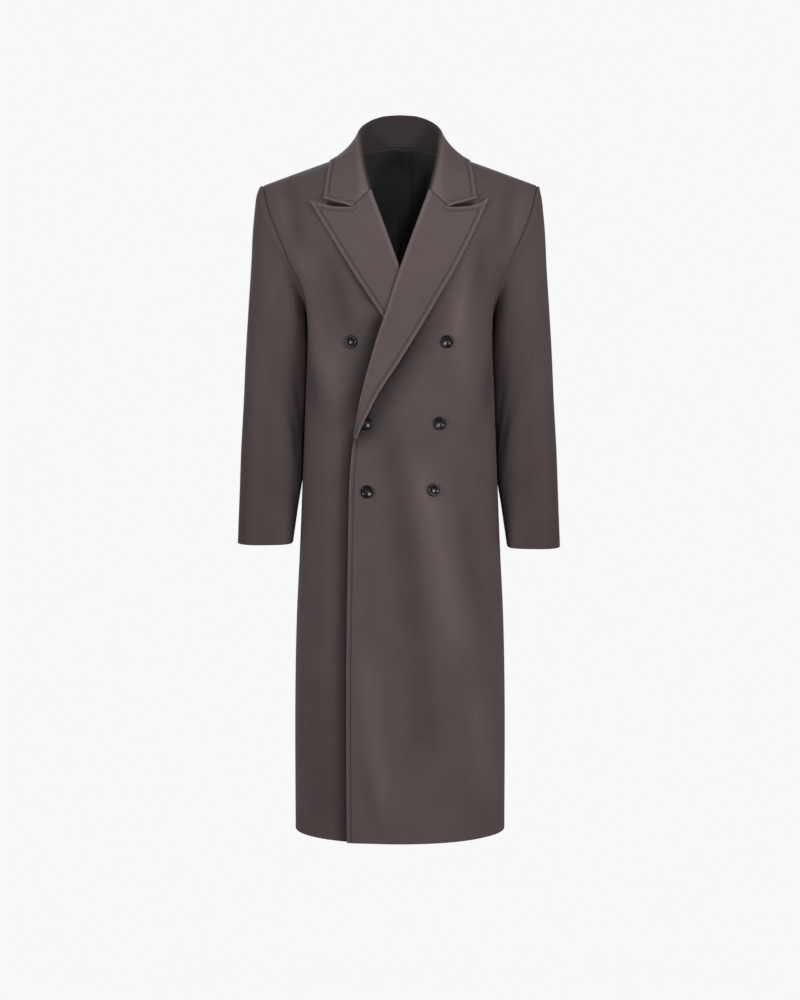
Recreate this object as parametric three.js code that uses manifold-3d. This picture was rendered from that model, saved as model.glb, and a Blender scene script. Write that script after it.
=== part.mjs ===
// A long double-breasted coat with peaked lapels, holding the shape it has when it is worn.
// Millimetres, +Z up, the front faces -Y. The origin lies midway between the two points where the
// shoulder seams reach the neck, where the coat rests on its wearer. "Left" is the wearer's left, +X.
import * as THREE from "three";
import { mergeVertices } from "three/addons/utils/BufferGeometryUtils.js";
import Module from "manifold-3d";

// Driving sizes
const HEM_Z = -1225; // the length, from the neck point of the shoulder down to the hem
const ARMPIT_Z = -300; // the level at which the armholes begin
const SHOULDER_RISE = 32; // the height that both shoulder lines would reach at the centre
const SHOULDER_SLOPE = 0.375; // the fall of the shoulder seam for each millimetre outward
const NECK_ROUNDING = 45; // how far the two shoulder lines are rounded into one at the centre
const CLOTH = 2.6; // the thickness of the melton with its interlining
const LAPEL_CLOTH = 2.4; // the thickness of the lapels and the collar
const LINING_CLOTH = 1;
const SEAM = 0.3; // the clearance between two pieces that are sewn together
const RIGHT = -1;
const LEFT = 1;
const FRONT = -1;
const BACK = 1;

// The body's sections: half the width, the depth in front of and behind the shoulder seam, and the
// squareness, where 2 is an ellipse
const bodySections = [
  { level: -1225, halfWidth: 190, front: 159, back: 152, squareness: 2.02 },
  { level: -1000, halfWidth: 190, front: 158, back: 149, squareness: 2.08 },
  { level: -845, halfWidth: 187, front: 157, back: 146, squareness: 2.15 },
  { level: -700, halfWidth: 180, front: 157, back: 143, squareness: 2.25 },
  { level: -600, halfWidth: 176, front: 157, back: 138, squareness: 2.3 },
  { level: -444, halfWidth: 170, front: 154, back: 130, squareness: 2.35 },
  { level: -300, halfWidth: 167, front: 151, back: 136, squareness: 2.4 },
  { level: -240, halfWidth: 181, front: 150, back: 138, squareness: 2.4 },
  { level: -160, halfWidth: 233, front: 150, back: 138, squareness: 2.4 },
  { level: -70, halfWidth: 264, front: 150, back: 140, squareness: 2.4 },
  { level: 0, halfWidth: 280, front: 150, back: 195, squareness: 2.4 },
];

// The armhole: how far round the body each panel reaches, in degrees from the centre
const armhole = [
  { level: -300, front: 90, back: 90 },
  { level: -270, front: 80, back: 82 },
  { level: -235, front: 71, back: 75 },
  { level: -195, front: 64, back: 69 },
  { level: -150, front: 60, back: 65 },
  { level: -70, front: 61, back: 63 },
  { level: 0, front: 61, back: 61 },
];

// The front's own edge: straight up from the hem, then the lapel's roll line, then the neck
const frontEdge = [
  { z: -1225, x: -91 },
  { z: -1000, x: -92 },
  { z: -780, x: -90 },
  { z: -648, x: -87 },
  { z: -556, x: -84 },
  { z: -505, x: -79.5 },
  { z: -470, x: -72 },
  { z: -429, x: -62.5 },
  { z: -328, x: -36 },
  { z: -262, x: -15 },
  { z: -208, x: 2.5 },
  { z: -126, x: 32.5 },
  { z: -71, x: 53 },
  { z: -46, x: 60 },
  { z: -23, x: 66.5 },
  { z: 0.2, x: 72 },
];

// The lapel: from the roll line to the outer edge, at stations from the gorge down to the break
const GORGE_START = { x: 53, z: -71 };
const NOTCH = { x: 84, z: -100 }; // where the seam of lapel and collar ends
const COLLAR_POINT = { x: 134, z: -87 };
const PEAK_LEFT = { x: 155, z: -86 };
const PEAK_RIGHT = { x: 158, z: -91 };
const lapelLeft = [
  { along: 0, rollZ: -71, edgeX: 155, edgeZ: -86 },
  { along: 0.15, rollZ: -126, edgeX: 130, edgeZ: -141 },
  { along: 0.3, rollZ: -188, edgeX: 100, edgeZ: -196 },
  { along: 0.45, rollZ: -250, edgeX: 65, edgeZ: -256 },
  { along: 0.6, rollZ: -313, edgeX: 31, edgeZ: -316 },
  { along: 0.72, rollZ: -362, edgeX: 2, edgeZ: -365 },
  { along: 0.86, rollZ: -426, edgeX: -37, edgeZ: -428 },
  { along: 1, rollZ: -505, edgeX: -73, edgeZ: -505 },
];
const lapelRight = [
  { along: 0, rollZ: -71, edgeX: 158, edgeZ: -91 },
  { along: 0.15, rollZ: -126, edgeX: 126, edgeZ: -143 },
  { along: 0.3, rollZ: -188, edgeX: 92, edgeZ: -196 },
  { along: 0.45, rollZ: -250, edgeX: 53, edgeZ: -256 },
  { along: 0.6, rollZ: -313, edgeX: 14, edgeZ: -316 },
  { along: 0.72, rollZ: -362, edgeX: -15, edgeZ: -365 },
  { along: 0.86, rollZ: -426, edgeX: -46, edgeZ: -428 },
  { along: 1, rollZ: -505, edgeX: -73, edgeZ: -505 },
];
const ROLL_INNER_RADIUS = 1; // the turn of the lapel's underside round the front's edge
const ROLL_LEG = 2; // how far the turned edge reaches down inside the front
const LAPEL_LIFT = 1; // the air between the front and the lapel

// The collar, from the centre back (0) to the gorge (1): the top of its fold and the fold's
// radius, a point halfway down the leaf, and the leaf's edge
const collarStations = [
  { at: 0, foldX: 0, foldY: 44, foldZ: 66, radius: 5,
    midX: 0, midY: 58, midZ: 26, edgeX: 0, edgeY: 68, edgeZ: -18 },
  { at: 0.2, foldX: 32, foldY: 40, foldZ: 63, radius: 5,
    midX: 38, midY: 54, midZ: 24, edgeX: 44, edgeY: 65, edgeZ: -19 },
  { at: 0.4, foldX: 58, foldY: 25, foldZ: 52, radius: 5,
    midX: 74, midY: 38, midZ: 18, edgeX: 90, edgeY: 46, edgeZ: -19 },
  { at: 0.55, foldX: 69, foldY: 4, foldZ: 36, radius: 5,
    midX: 92, midY: 7, midZ: 10, edgeX: 117, edgeY: 4, edgeZ: -12 },
  { at: 0.7, foldX: 68, foldY: -28, foldZ: 12, radius: 4.5,
    midX: 95, midY: -30, midZ: -7, edgeX: 125, edgeY: -36, edgeZ: -27 },
  { at: 0.85, foldX: 63.5, foldY: -66, foldZ: -21, radius: 4,
    midX: 92, midY: -72, midZ: -37, edgeX: 130.5, edgeY: -69, edgeZ: -55 },
  { at: 1, foldX: 53, foldY: -101, foldZ: -66, radius: 3.4,
    midX: 84, midY: -106, midZ: -92, edgeX: 134, edgeY: -91, edgeZ: -86 },
];

// The sleeve's rings, from the armhole (0) to the cuff (1): the outer and the inner end of each,
// half its depth, and how much it keeps of the armhole's own shape
const sleeveRings = [
  { along: 0, outX: 245, outY: 0, outZ: -62, inX: 168, inY: 0, inZ: -300, depth: 72, armhole: 1 },
  { along: 0.04, outX: 252, outY: 0, outZ: -67, inX: 171.5, inY: 3, inZ: -299, depth: 76, armhole: 0.95 },
  { along: 0.08, outX: 257, outY: 0, outZ: -80, inX: 170.5, inY: 16, inZ: -304, depth: 79, armhole: 0.84 },
  { along: 0.13, outX: 260, outY: 0, outZ: -103, inX: 168, inY: 29, inZ: -315, depth: 81, armhole: 0.66 },
  { along: 0.21, outX: 264, outY: 0, outZ: -146, inX: 165.5, inY: 41, inZ: -339, depth: 81, armhole: 0.42 },
  { along: 0.31, outX: 267, outY: 0, outZ: -205, inX: 165, inY: 46, inZ: -372, depth: 80, armhole: 0.22 },
  { along: 0.42, outX: 272, outY: 0, outZ: -278, inX: 166.5, inY: 47, inZ: -414, depth: 78, armhole: 0.08 },
  { along: 0.53, outX: 277, outY: -1, outZ: -358, inX: 169, inY: 46, inZ: -462, depth: 75, armhole: 0 },
  { along: 0.64, outX: 281, outY: -4, outZ: -444, inX: 172, inY: 42, inZ: -516, depth: 72, armhole: 0 },
  { along: 0.75, outX: 286, outY: -9, outZ: -534, inX: 175, inY: 34, inZ: -576, depth: 69, armhole: 0 },
  { along: 0.87, outX: 289, outY: -17, outZ: -620, inX: 184, inY: 14, inZ: -637, depth: 64, armhole: 0 },
  { along: 1, outX: 292, outY: -26, outZ: -701, inX: 193, inY: -10, inZ: -701, depth: 57, armhole: 0 },
];
const LEFT_SLEEVE_DROP = 7; // the left sleeve hangs this much lower
const LEFT_SLEEVE_INSET = 4; // and its outer line this much closer in

// Soft folds: a line down the cloth from one point to another, its half-width in degrees round
// the body, and how far it stands out, or lies in where that is negative
const folds = [
  { face: FRONT, topTurn: -2, topLevel: -600, lowTurn: 14, lowLevel: -1060, width: 8, rise: -3.5 },
  { face: FRONT, topTurn: 16, topLevel: -600, lowTurn: 38, lowLevel: -900, width: 8, rise: 3 },
  { face: FRONT, topTurn: -48, topLevel: -640, lowTurn: -56, lowLevel: -1150, width: 9, rise: 2.5 },
  { face: FRONT, topTurn: 66, topLevel: -420, lowTurn: 78, lowLevel: -520, width: 9, rise: -3.5 },
  { face: FRONT, topTurn: -66, topLevel: -420, lowTurn: -78, lowLevel: -520, width: 9, rise: -3.5 },
  { face: BACK, topTurn: -34, topLevel: -420, lowTurn: -42, lowLevel: -1225, width: 11, rise: 5 },
  { face: BACK, topTurn: 36, topLevel: -460, lowTurn: 40, lowLevel: -1225, width: 11, rise: 5 },
  { face: BACK, topTurn: -8, topLevel: -560, lowTurn: -4, lowLevel: -1225, width: 10, rise: -4 },
];
const FOLD_END = 120; // the length over which a fold fades in and out

// The buttons: x and z of their centres
const buttons = [
  { name: "button_right_top", x: -85, z: -336, front: RIGHT },
  { name: "button_left_top", x: 80, z: -335, front: LEFT },
  { name: "button_right_middle", x: -58, z: -478, front: LEFT },
  { name: "button_left_middle", x: 67, z: -478, front: LEFT },
  { name: "button_right_bottom", x: -56, z: -598, front: LEFT },
  { name: "button_left_bottom", x: 56, z: -595, front: LEFT },
];
const BUTTON_RADIUS = 11.4;
const BUTTON_HEIGHT = 3.8;
const BUTTON_SEAT = 0.8; // between the button and the cloth

// Grid sizes
const SKIRT_ROWS = 11;
const CHEST_ROWS = 12;
const CHEST_SPACING = 1.25; // above 1, the chest's rows crowd towards the armpit
const OVERLAP_COLUMNS = 6;
const SIDE_COLUMNS = 9;
const NECK_COLUMNS = 5; // from the centre back to the neck point
const SHOULDER_COLUMNS = 5;

const vec = (x, y, z) => new THREE.Vector3(x, y, z);
const mix = (a, b, t) => a + (b - a) * t;
const clamp = (t, low = 0, high = 1) => Math.min(high, Math.max(low, t));
const radians = (degrees) => (degrees * Math.PI) / 180;
function smooth(from, to, value) {
  const t = clamp((value - from) / (to - from));
  return t * t * (3 - 2 * t);
}

// Reads a table at a value of its key column, on a smooth curve through each other column.
function read(table, key, value) {
  const last = table.length - 1;
  let i = 0;
  while (i < last - 1 && value > table[i + 1][key]) i += 1;
  const span = table[i + 1][key] - table[i][key];
  const t = clamp((value - table[i][key]) / span);
  const result = {};
  for (const column of Object.keys(table[0])) {
    const slope = (k) => {
      const a = table[Math.max(0, k - 1)];
      const b = table[Math.min(last, k + 1)];
      return ((b[column] - a[column]) / (b[key] - a[key])) * span;
    };
    const rest = 1 - t;
    result[column] =
      table[i][column] * (1 + 2 * t) * rest * rest +
      table[i + 1][column] * t * t * (3 - 2 * t) +
      slope(i) * t * rest * rest -
      slope(i + 1) * t * t * rest;
  }
  return result;
}

// The height of the shoulder line at a distance from the centre
const shoulderHeight = (x) => SHOULDER_RISE - SHOULDER_SLOPE * Math.hypot(x, NECK_ROUNDING);

// How far the folds move the cloth outward
function foldRise(face, turn, level) {
  let rise = 0;
  for (const fold of folds) {
    if (fold.face !== face) continue;
    const t = clamp((fold.topLevel - level) / (fold.topLevel - fold.lowLevel));
    const away = (turn - mix(fold.topTurn, fold.lowTurn, t)) / fold.width;
    const faded =
      smooth(fold.topLevel + FOLD_END, fold.topLevel - FOLD_END, level) *
      (fold.lowLevel <= HEM_Z ? 1 : smooth(fold.lowLevel - FOLD_END, fold.lowLevel + FOLD_END, level));
    rise += fold.rise * Math.exp(-away * away) * faded;
  }
  return rise;
}

// A point of the body's outer surface. The turn is in degrees from the centre, and the level is the
// height before the shoulders' slope is added.
function torso(face, turn, level) {
  const section = read(bodySections, "level", level);
  const across = Math.sin(radians(turn));
  const up = clamp(1 - level / ARMPIT_Z);
  const x = section.halfWidth * across;
  const depth = (face === FRONT ? section.front : section.back) + foldRise(face, turn, level);
  const round = Math.max(0, 1 - Math.abs(across) ** section.squareness) ** (1 / section.squareness);
  const y = face * depth * round * Math.sqrt(Math.max(0, 1 - up * up));
  return vec(x, y, level + up * shoulderHeight(x));
}

// The level that has the height z at the distance x from the centre
function levelOf(x, z) {
  if (z <= ARMPIT_Z) return z;
  return ARMPIT_Z * (1 - clamp((z - ARMPIT_Z) / (shoulderHeight(x) - ARMPIT_Z)));
}

// The turn at which the body is at the distance x from the centre
function turnOf(x, level) {
  const share = clamp(x / read(bodySections, "level", level).halfWidth, -1, 1);
  return (Math.asin(share) * 180) / Math.PI;
}

// The normal of a surface at a point of its two parameters
function normalOf(surface, a, b, stepA, stepB, limits) {
  const [lowA, highA, lowB, highB] = limits;
  const alongA = surface(Math.min(a + stepA, highA), b).sub(surface(Math.max(a - stepA, lowA), b));
  const alongB = surface(a, Math.min(b + stepB, highB)).sub(surface(a, Math.max(b - stepB, lowB)));
  return alongA.cross(alongB).normalize();
}

// How far the left front stands off the body, to lie over the right front and its lapel
const OVERLAP_CLEARANCE = 1.2;
function overlapLift(x, level) {
  const overFront = CLOTH + OVERLAP_CLEARANCE;
  const overLapel = (LAPEL_CLOTH + LAPEL_LIFT + 0.5) * smooth(-760, -515, level);
  return (overFront + overLapel) * smooth(-110, -205, level) * smooth(166, 97, x);
}

// A point of one front's outer surface, moved out by a height, and the normal there
function frontNormal(turn, level) {
  const n = normalOf((a, b) => torso(FRONT, a, b), turn, level, 0.5, 1, [-90, 90, HEM_Z, 0]);
  return n.y > 0 || (Math.abs(n.y) < 1e-3 && n.x * turn < 0) ? n.negate() : n;
}
function frontPoint(side, turn, level, height = 0) {
  const point = torso(FRONT, turn, level);
  const lift = side === LEFT ? overlapLift(point.x, level) : 0;
  return point.addScaledVector(frontNormal(turn, level), lift + height);
}
function frontAt(side, x, z, height) {
  const level = levelOf(x, z);
  return frontPoint(side, turnOf(x, level), level, height);
}
function backNormal(turn, level) {
  const n = normalOf((a, b) => torso(BACK, a, b), turn, level, 0.5, 1, [-90, 90, HEM_Z, 0]);
  return n.y < 0 || (Math.abs(n.y) < 1e-3 && n.x * turn < 0) ? n.negate() : n;
}
function backPoint(turn, level, height = 0) {
  return torso(BACK, turn, level).addScaledVector(backNormal(turn, level), height);
}

// The place of the front's edge at a level
function edgeAt(level) {
  let x = 0;
  for (let pass = 0; pass < 5; pass += 1) {
    const z = level + clamp(1 - level / ARMPIT_Z) * shoulderHeight(x);
    x = read(frontEdge, "z", z).x;
  }
  return x;
}

// The level of each row of the body's panels, from the hem to a top edge at the given level
const overOf = (level) => (Math.asin(clamp(1 - level / ARMPIT_Z)) * 180) / Math.PI;
function rowLevel(row, top = 0) {
  if (row <= SKIRT_ROWS) return mix(HEM_Z, ARMPIT_Z, row / SKIRT_ROWS);
  const over = ((row - SKIRT_ROWS) / CHEST_ROWS) ** CHEST_SPACING * overOf(top);
  return ARMPIT_Z * (1 - Math.sin(radians(over)));
}
const ROWS = SKIRT_ROWS + CHEST_ROWS;

// A closed wall between an outer and an inner grid of points, open or closed round its columns
function wallGeometry(outer, inner, { closed = false, flip = false } = {}) {
  const rows = outer.length;
  const columns = outer[0].length;
  const positions = [];
  for (const grid of [outer, inner])
    for (const line of grid) for (const p of line) positions.push(p.x, p.y, p.z);
  const at = (layer, i, j) => layer * rows * columns + i * columns + (j % columns);
  const index = [];
  const quad = (a, b, c, d) => index.push(...(flip ? [b, c, d, b, d, a] : [a, b, c, a, c, d]));
  const strips = closed ? columns : columns - 1;
  for (let i = 0; i < rows - 1; i += 1)
    for (let j = 0; j < strips; j += 1) {
      quad(at(0, i, j), at(0, i, j + 1), at(0, i + 1, j + 1), at(0, i + 1, j));
      quad(at(1, i, j), at(1, i + 1, j), at(1, i + 1, j + 1), at(1, i, j + 1));
    }
  for (let j = 0; j < strips; j += 1) {
    quad(at(1, 0, j), at(1, 0, j + 1), at(0, 0, j + 1), at(0, 0, j));
    quad(at(0, rows - 1, j), at(0, rows - 1, j + 1), at(1, rows - 1, j + 1), at(1, rows - 1, j));
  }
  if (!closed)
    for (let i = 0; i < rows - 1; i += 1) {
      quad(at(0, i, 0), at(0, i + 1, 0), at(1, i + 1, 0), at(1, i, 0));
      const end = columns - 1;
      quad(at(1, i, end), at(1, i + 1, end), at(0, i + 1, end), at(0, i, end));
    }
  const geometry = new THREE.BufferGeometry();
  geometry.setAttribute("position", new THREE.Float32BufferAttribute(positions, 3));
  geometry.setIndex(index);
  if (signedVolume(geometry) < 0) geometry.setIndex(index.reverse());
  geometry.computeVertexNormals();
  return geometry;
}

function signedVolume(geometry) {
  const position = geometry.getAttribute("position");
  const index = geometry.getIndex().array;
  const [a, b, c] = [vec(0, 0, 0), vec(0, 0, 0), vec(0, 0, 0)];
  let sum = 0;
  for (let i = 0; i < index.length; i += 3) {
    a.fromBufferAttribute(position, index[i]);
    b.fromBufferAttribute(position, index[i + 1]);
    c.fromBufferAttribute(position, index[i + 2]);
    sum += a.dot(b.cross(c)) / 6;
  }
  return sum;
}

const grid = (rows, columns, point) =>
  Array.from({ length: rows + 1 }, (_, i) => Array.from({ length: columns + 1 }, (_, j) => point(i, j)));

// Keeps a seam's clearance between the front and the back, which meet at y = 0
const clearOfSeam = (face) => (p) => {
  p.y = face * Math.max(SEAM / 2, face * p.y);
  return p;
};

const WOOL = { color: 0x5a5052, roughness: 0.95, metalness: 0 };
const LINING = { color: 0x1b1b1d, roughness: 0.45, metalness: 0 };
const HORN = { color: 0x17161a, roughness: 0.3, metalness: 0 };

function addMesh(group, name, geometry, material) {
  const mesh = new THREE.Mesh(geometry, new THREE.MeshStandardMaterial(material));
  mesh.name = name;
  group.add(mesh);
  return mesh;
}

// One front, from its edge round to the side seam and the armhole. Over the overlap its columns
// are those of the other front.
const SHARED_PART = 0.43;
function makeFront(side) {
  const place = (height) => (i, j) => {
    const level = rowLevel(i);
    const edge = turnOf(edgeAt(level), level);
    const end = read(armhole, "level", level).front;
    const shared = Math.max(-edge, mix(edge, end, SHARED_PART));
    const turn =
      j <= OVERLAP_COLUMNS
        ? mix(edge, shared, j / OVERLAP_COLUMNS)
        : mix(shared, end, (j - OVERLAP_COLUMNS) / SIDE_COLUMNS);
    const p = frontPoint(side, side * turn, level, height);
    p.y = Math.min(p.y, -SEAM / 2);
    return p;
  };
  const columns = OVERLAP_COLUMNS + SIDE_COLUMNS;
  return wallGeometry(grid(ROWS, columns, place(0)), grid(ROWS, columns, place(-CLOTH)), {
    flip: side === RIGHT,
  });
}

// The back, in one piece from side seam to side seam, with the neck scooped out at the top
const NECK_HALF_WIDTH = 72;
const BACK_NECK_DROP = 6;
function backTop(x) {
  const share = clamp(Math.abs(x) / NECK_HALF_WIDTH);
  return -BACK_NECK_DROP * Math.sqrt(Math.max(0, 1 - share ** 2.6));
}
const BACK_HALF = NECK_COLUMNS + SHOULDER_COLUMNS;
function backShare(j) {
  const column = Math.abs(j - BACK_HALF);
  const end = read(armhole, "level", 0).back;
  const around = radians((90 * Math.min(column, NECK_COLUMNS)) / NECK_COLUMNS);
  const neck = turnOf(NECK_HALF_WIDTH * Math.sin(around), 0) / end;
  const past = Math.max(0, column - NECK_COLUMNS) / SHOULDER_COLUMNS;
  return Math.sign(j - BACK_HALF) * mix(neck, 1, past);
}
function backPlace(height, { shorter = 0, trim = 0 } = {}) {
  const topHalfWidth = read(bodySections, "level", 0).halfWidth;
  return (i, j) => {
    const share = backShare(j);
    const topTurn = share * read(armhole, "level", 0).back;
    const top = backTop(topHalfWidth * Math.sin(radians(topTurn)));
    const level = Math.max(rowLevel(i, top), HEM_Z + shorter);
    const end = read(armhole, "level", level).back;
    const turn = clamp(share * end, trim - end, end - trim);
    const p = backPoint(turn, level, height);
    p.y = Math.max(p.y, SEAM / 2);
    return p;
  };
}
const makeBack = () =>
  wallGeometry(grid(ROWS, 2 * BACK_HALF, backPlace(0)), grid(ROWS, 2 * BACK_HALF, backPlace(-CLOTH)));

// The lining inside the back, from just under the collar's seam to above the hem
const LINING_GAP = 1.2;
const LINING_INSET = { shorter: 25, trim: 1 };
function makeLining() {
  const outside = backPlace(-CLOTH - LINING_GAP, LINING_INSET);
  const inside = backPlace(-CLOTH - LINING_GAP - LINING_CLOTH, LINING_INSET);
  return wallGeometry(grid(ROWS, 2 * BACK_HALF, outside), grid(ROWS, 2 * BACK_HALF, inside));
}

// The section across a rolled edge, as distances past the front's own edge and heights above the
// front: up inside the edge, round it, and onto the front
const ROLL_CENTRE = { past: 0.45, height: -0.5 };
function rollSection(radius, steps) {
  const section = [{ past: ROLL_CENTRE.past - radius, height: ROLL_CENTRE.height - ROLL_LEG }];
  for (let i = 0; i <= steps; i += 1) {
    const angle = radians(180 - (90 * i) / steps);
    section.push({
      past: ROLL_CENTRE.past + radius * Math.cos(angle),
      height: ROLL_CENTRE.height + radius * Math.sin(angle),
    });
  }
  return section;
}

// The seam between the lapel and the collar, and the two edges that part there to form the notch.
// The share runs from the roll line (0) past the end of the seam (GORGE_SHARE) to the outer edge (1).
const GORGE_SHARE = 0.32;
const GORGE_STEPS = 2;
const gorgeGap = SEAM * 0.75;
function alongPolyline(points, share) {
  const last = points.length - 1;
  let i = 0;
  while (i < last - 1 && share > points[i + 1].share) i += 1;
  const t = (share - points[i].share) / (points[i + 1].share - points[i].share);
  return { x: mix(points[i].x, points[i + 1].x, t), z: mix(points[i].z, points[i + 1].z, t) };
}
const lapelTop = (peak) => [
  { share: 0, x: GORGE_START.x - gorgeGap, z: GORGE_START.z - gorgeGap },
  { share: GORGE_SHARE, x: NOTCH.x - gorgeGap, z: NOTCH.z - gorgeGap },
  { share: 0.55, x: 110, z: -101.5 },
  { share: 0.78, x: 134, z: -97.5 },
  { share: 1, x: peak.x, z: peak.z },
];
const collarEnd = [
  { share: 0, x: GORGE_START.x + gorgeGap, z: GORGE_START.z + gorgeGap },
  { share: GORGE_SHARE, x: NOTCH.x + gorgeGap, z: NOTCH.z + gorgeGap },
  { share: 0.6, x: 106, z: -94.5 },
  { share: 0.85, x: 125, z: -89.5 },
  { share: 1, x: COLLAR_POINT.x, z: COLLAR_POINT.z },
];

// The share of one of a number of steps, GORGE_STEPS of which lie along the seam
function gorgeShare(step, steps) {
  return step <= GORGE_STEPS
    ? (GORGE_SHARE * step) / GORGE_STEPS
    : mix(GORGE_SHARE, 1, (step - GORGE_STEPS) / (steps - GORGE_STEPS));
}

// How high the underside of the lapel lies above the front: over a button it rises
const BUTTON_UNDER = { x: -58, z: -478, reachX: 18, reachZ: 27, rise: 5.4 };
function underLapel(side, x, z) {
  if (side === RIGHT) return LAPEL_LIFT;
  const { reachX, reachZ } = BUTTON_UNDER;
  const away = Math.hypot((x - BUTTON_UNDER.x) / reachX, (z - BUTTON_UNDER.z) / reachZ);
  return LAPEL_LIFT + BUTTON_UNDER.rise * Math.exp(-(away ** 4));
}

const LAPEL_ROWS = 22;
const LAPEL_FLAT_STEPS = 6;
const ROLL_STEPS = 3;
const TOP_FADE = 2.5; // how soon the shape of the lapel's top dies away down the lapel
function makeLapel(side) {
  const table = side === LEFT ? lapelLeft : lapelRight;
  const peak = side === LEFT ? PEAK_LEFT : PEAK_RIGHT;
  const top = lapelTop(peak);
  const start = top[0];
  const place = (thickness) => (i, j) => {
    const along = i / LAPEL_ROWS;
    const row = read(table, "along", along);
    const rollX = read(frontEdge, "z", row.rollZ).x;
    const curl = rollSection(ROLL_INNER_RADIUS + thickness, ROLL_STEPS)[j];
    const width = Math.hypot(row.edgeX - rollX, row.edgeZ - row.rollZ);
    const flatColumn = j - ROLL_STEPS - 1;
    const share = curl ? curl.past / width : gorgeShare(flatColumn, LAPEL_FLAT_STEPS);
    const shaped = alongPolyline(top, share);
    const bend = (1 - along) ** TOP_FADE;
    const x = mix(rollX, row.edgeX, share) + (shaped.x - mix(start.x, peak.x, share)) * bend;
    const z = mix(row.rollZ, row.edgeZ, share) + (shaped.z - mix(start.z, peak.z, share)) * bend;
    const flat = underLapel(side, x, z) + thickness;
    return frontAt(side, side * x, z, curl ? Math.min(curl.height, flat) : flat);
  };
  const columns = ROLL_STEPS + 1 + LAPEL_FLAT_STEPS;
  return wallGeometry(grid(LAPEL_ROWS, columns, place(LAPEL_CLOTH)), grid(LAPEL_ROWS, columns, place(0)));
}

// The collar: one folded wall, whose face looks to the neck on its stand and outward on its leaf
const COLLAR_STATIONS = 15; // from the centre back to one end
const STATION_CROWDING = 1.25; // above 1, the stations crowd towards the ends
const STAND_STEPS = 6;
const LEAF_STEPS = 8;
const NECK_GAP = 1.5; // between the stand and the neck's edge
const NECK_POINT_AT = 0.55; // the station of the shoulder seam
const GORGE_TURN = 48.2; // the angle over the shoulder, in degrees, at which the gorge begins
function neckEdge(at) {
  if (at <= NECK_POINT_AT) {
    const x = NECK_HALF_WIDTH * Math.sin(radians((90 * at) / NECK_POINT_AT));
    const level = backTop(x);
    const turn = turnOf(x, level);
    return { point: backPoint(turn, level), normal: backNormal(turn, level) };
  }
  const over = mix(90, GORGE_TURN, (at - NECK_POINT_AT) / (1 - NECK_POINT_AT));
  const level = ARMPIT_Z * (1 - Math.sin(radians(over)));
  const turn = turnOf(edgeAt(level), level);
  return { point: torso(FRONT, turn, level), normal: frontNormal(turn, level) };
}
function standBase(at) {
  const { point, normal } = neckEdge(at);
  const step = 0.01;
  const ahead = neckEdge(Math.min(1, at + step)).point;
  const behind = neckEdge(Math.max(0, at - step)).point;
  const tangent = ahead.sub(behind).normalize();
  const inward = vec(0, 0, 0).crossVectors(normal, tangent).normalize();
  if (inward.dot(vec(-point.x, -point.y - 20, 0)) < 0) inward.negate();
  return point.clone().addScaledVector(inward, NECK_GAP + LAPEL_CLOTH).addScaledVector(normal, -ROLL_LEG);
}
// The collar's section at a station that isn't its end
function collarSection(at, k) {
  const row = read(collarStations, "at", at);
  const base = standBase(at);
  const fold = vec(row.foldX, row.foldY, row.foldZ);
  const middle = vec(row.midX, row.midY, row.midZ);
  const edge = vec(row.edgeX, row.edgeY, row.edgeZ);
  const downStand = base.clone().sub(fold).normalize();
  const downLeaf = middle.clone().sub(fold).normalize();
  const down = downStand.clone().add(downLeaf).normalize();
  const across = downLeaf.clone().sub(downStand).normalize();
  const inner = fold.clone().addScaledVector(down, row.radius * 0.8).addScaledVector(across, -row.radius);
  const outer = fold.clone().addScaledVector(down, row.radius * 0.8).addScaledVector(across, row.radius);
  if (k <= STAND_STEPS - 2) return base.lerp(inner, k / (STAND_STEPS - 2));
  if (k === STAND_STEPS - 1) return fold;
  const s = (k - STAND_STEPS) / LEAF_STEPS;
  return outer
    .multiplyScalar((1 - s) * (1 - 2 * s))
    .addScaledVector(middle, 4 * s * (1 - s))
    .addScaledVector(edge, s * (2 * s - 1));
}
// The collar's end, which lies on the front beside the lapel
function collarEndPoint(k, thickness) {
  const curl = rollSection(ROLL_INNER_RADIUS + thickness, STAND_STEPS - 1)[k];
  const width = Math.hypot(COLLAR_POINT.x - GORGE_START.x, COLLAR_POINT.z - GORGE_START.z);
  const share = curl ? curl.past / width : gorgeShare(k - STAND_STEPS, LEAF_STEPS);
  const place = alongPolyline(collarEnd, share);
  const flat = LAPEL_LIFT + thickness;
  return frontAt(RIGHT, place.x, place.z, curl ? Math.min(curl.height, flat) : flat);
}
// How far a point is above the body
function aboveBody(p) {
  const level = levelOf(p.x, p.z);
  const turn = turnOf(p.x, level);
  const [foot, normal] =
    p.y < 0
      ? [torso(FRONT, turn, level), frontNormal(turn, level)]
      : [torso(BACK, turn, level), backNormal(turn, level)];
  return { height: p.clone().sub(foot).dot(normal), normal };
}
const FOLD_AIR = 0.7; // more air under the fold, where it goes round the front's edge
const END_BLEND = { stand: 0.93, leaf: 0.8 }; // where the collar's section turns into its end
function collarFace(side, at, k) {
  const end = collarEndPoint(k, LAPEL_CLOTH);
  const from = k < STAND_STEPS ? END_BLEND.stand : END_BLEND.leaf;
  const p = collarSection(at, k).lerp(end, smooth(from, 1, at) ** 1.5);
  if (k >= STAND_STEPS - 1)
    for (let pass = 0; pass < 3; pass += 1) {
      const { height, normal } = aboveBody(p);
      const resting = LAPEL_LIFT + LAPEL_CLOTH + FOLD_AIR * clamp(2 - Math.abs(k - STAND_STEPS));
      const least = at < 1 ? resting : 0;
      p.addScaledVector(normal, Math.max(0, least - height));
    }
  p.x *= side;
  return p;
}

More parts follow.
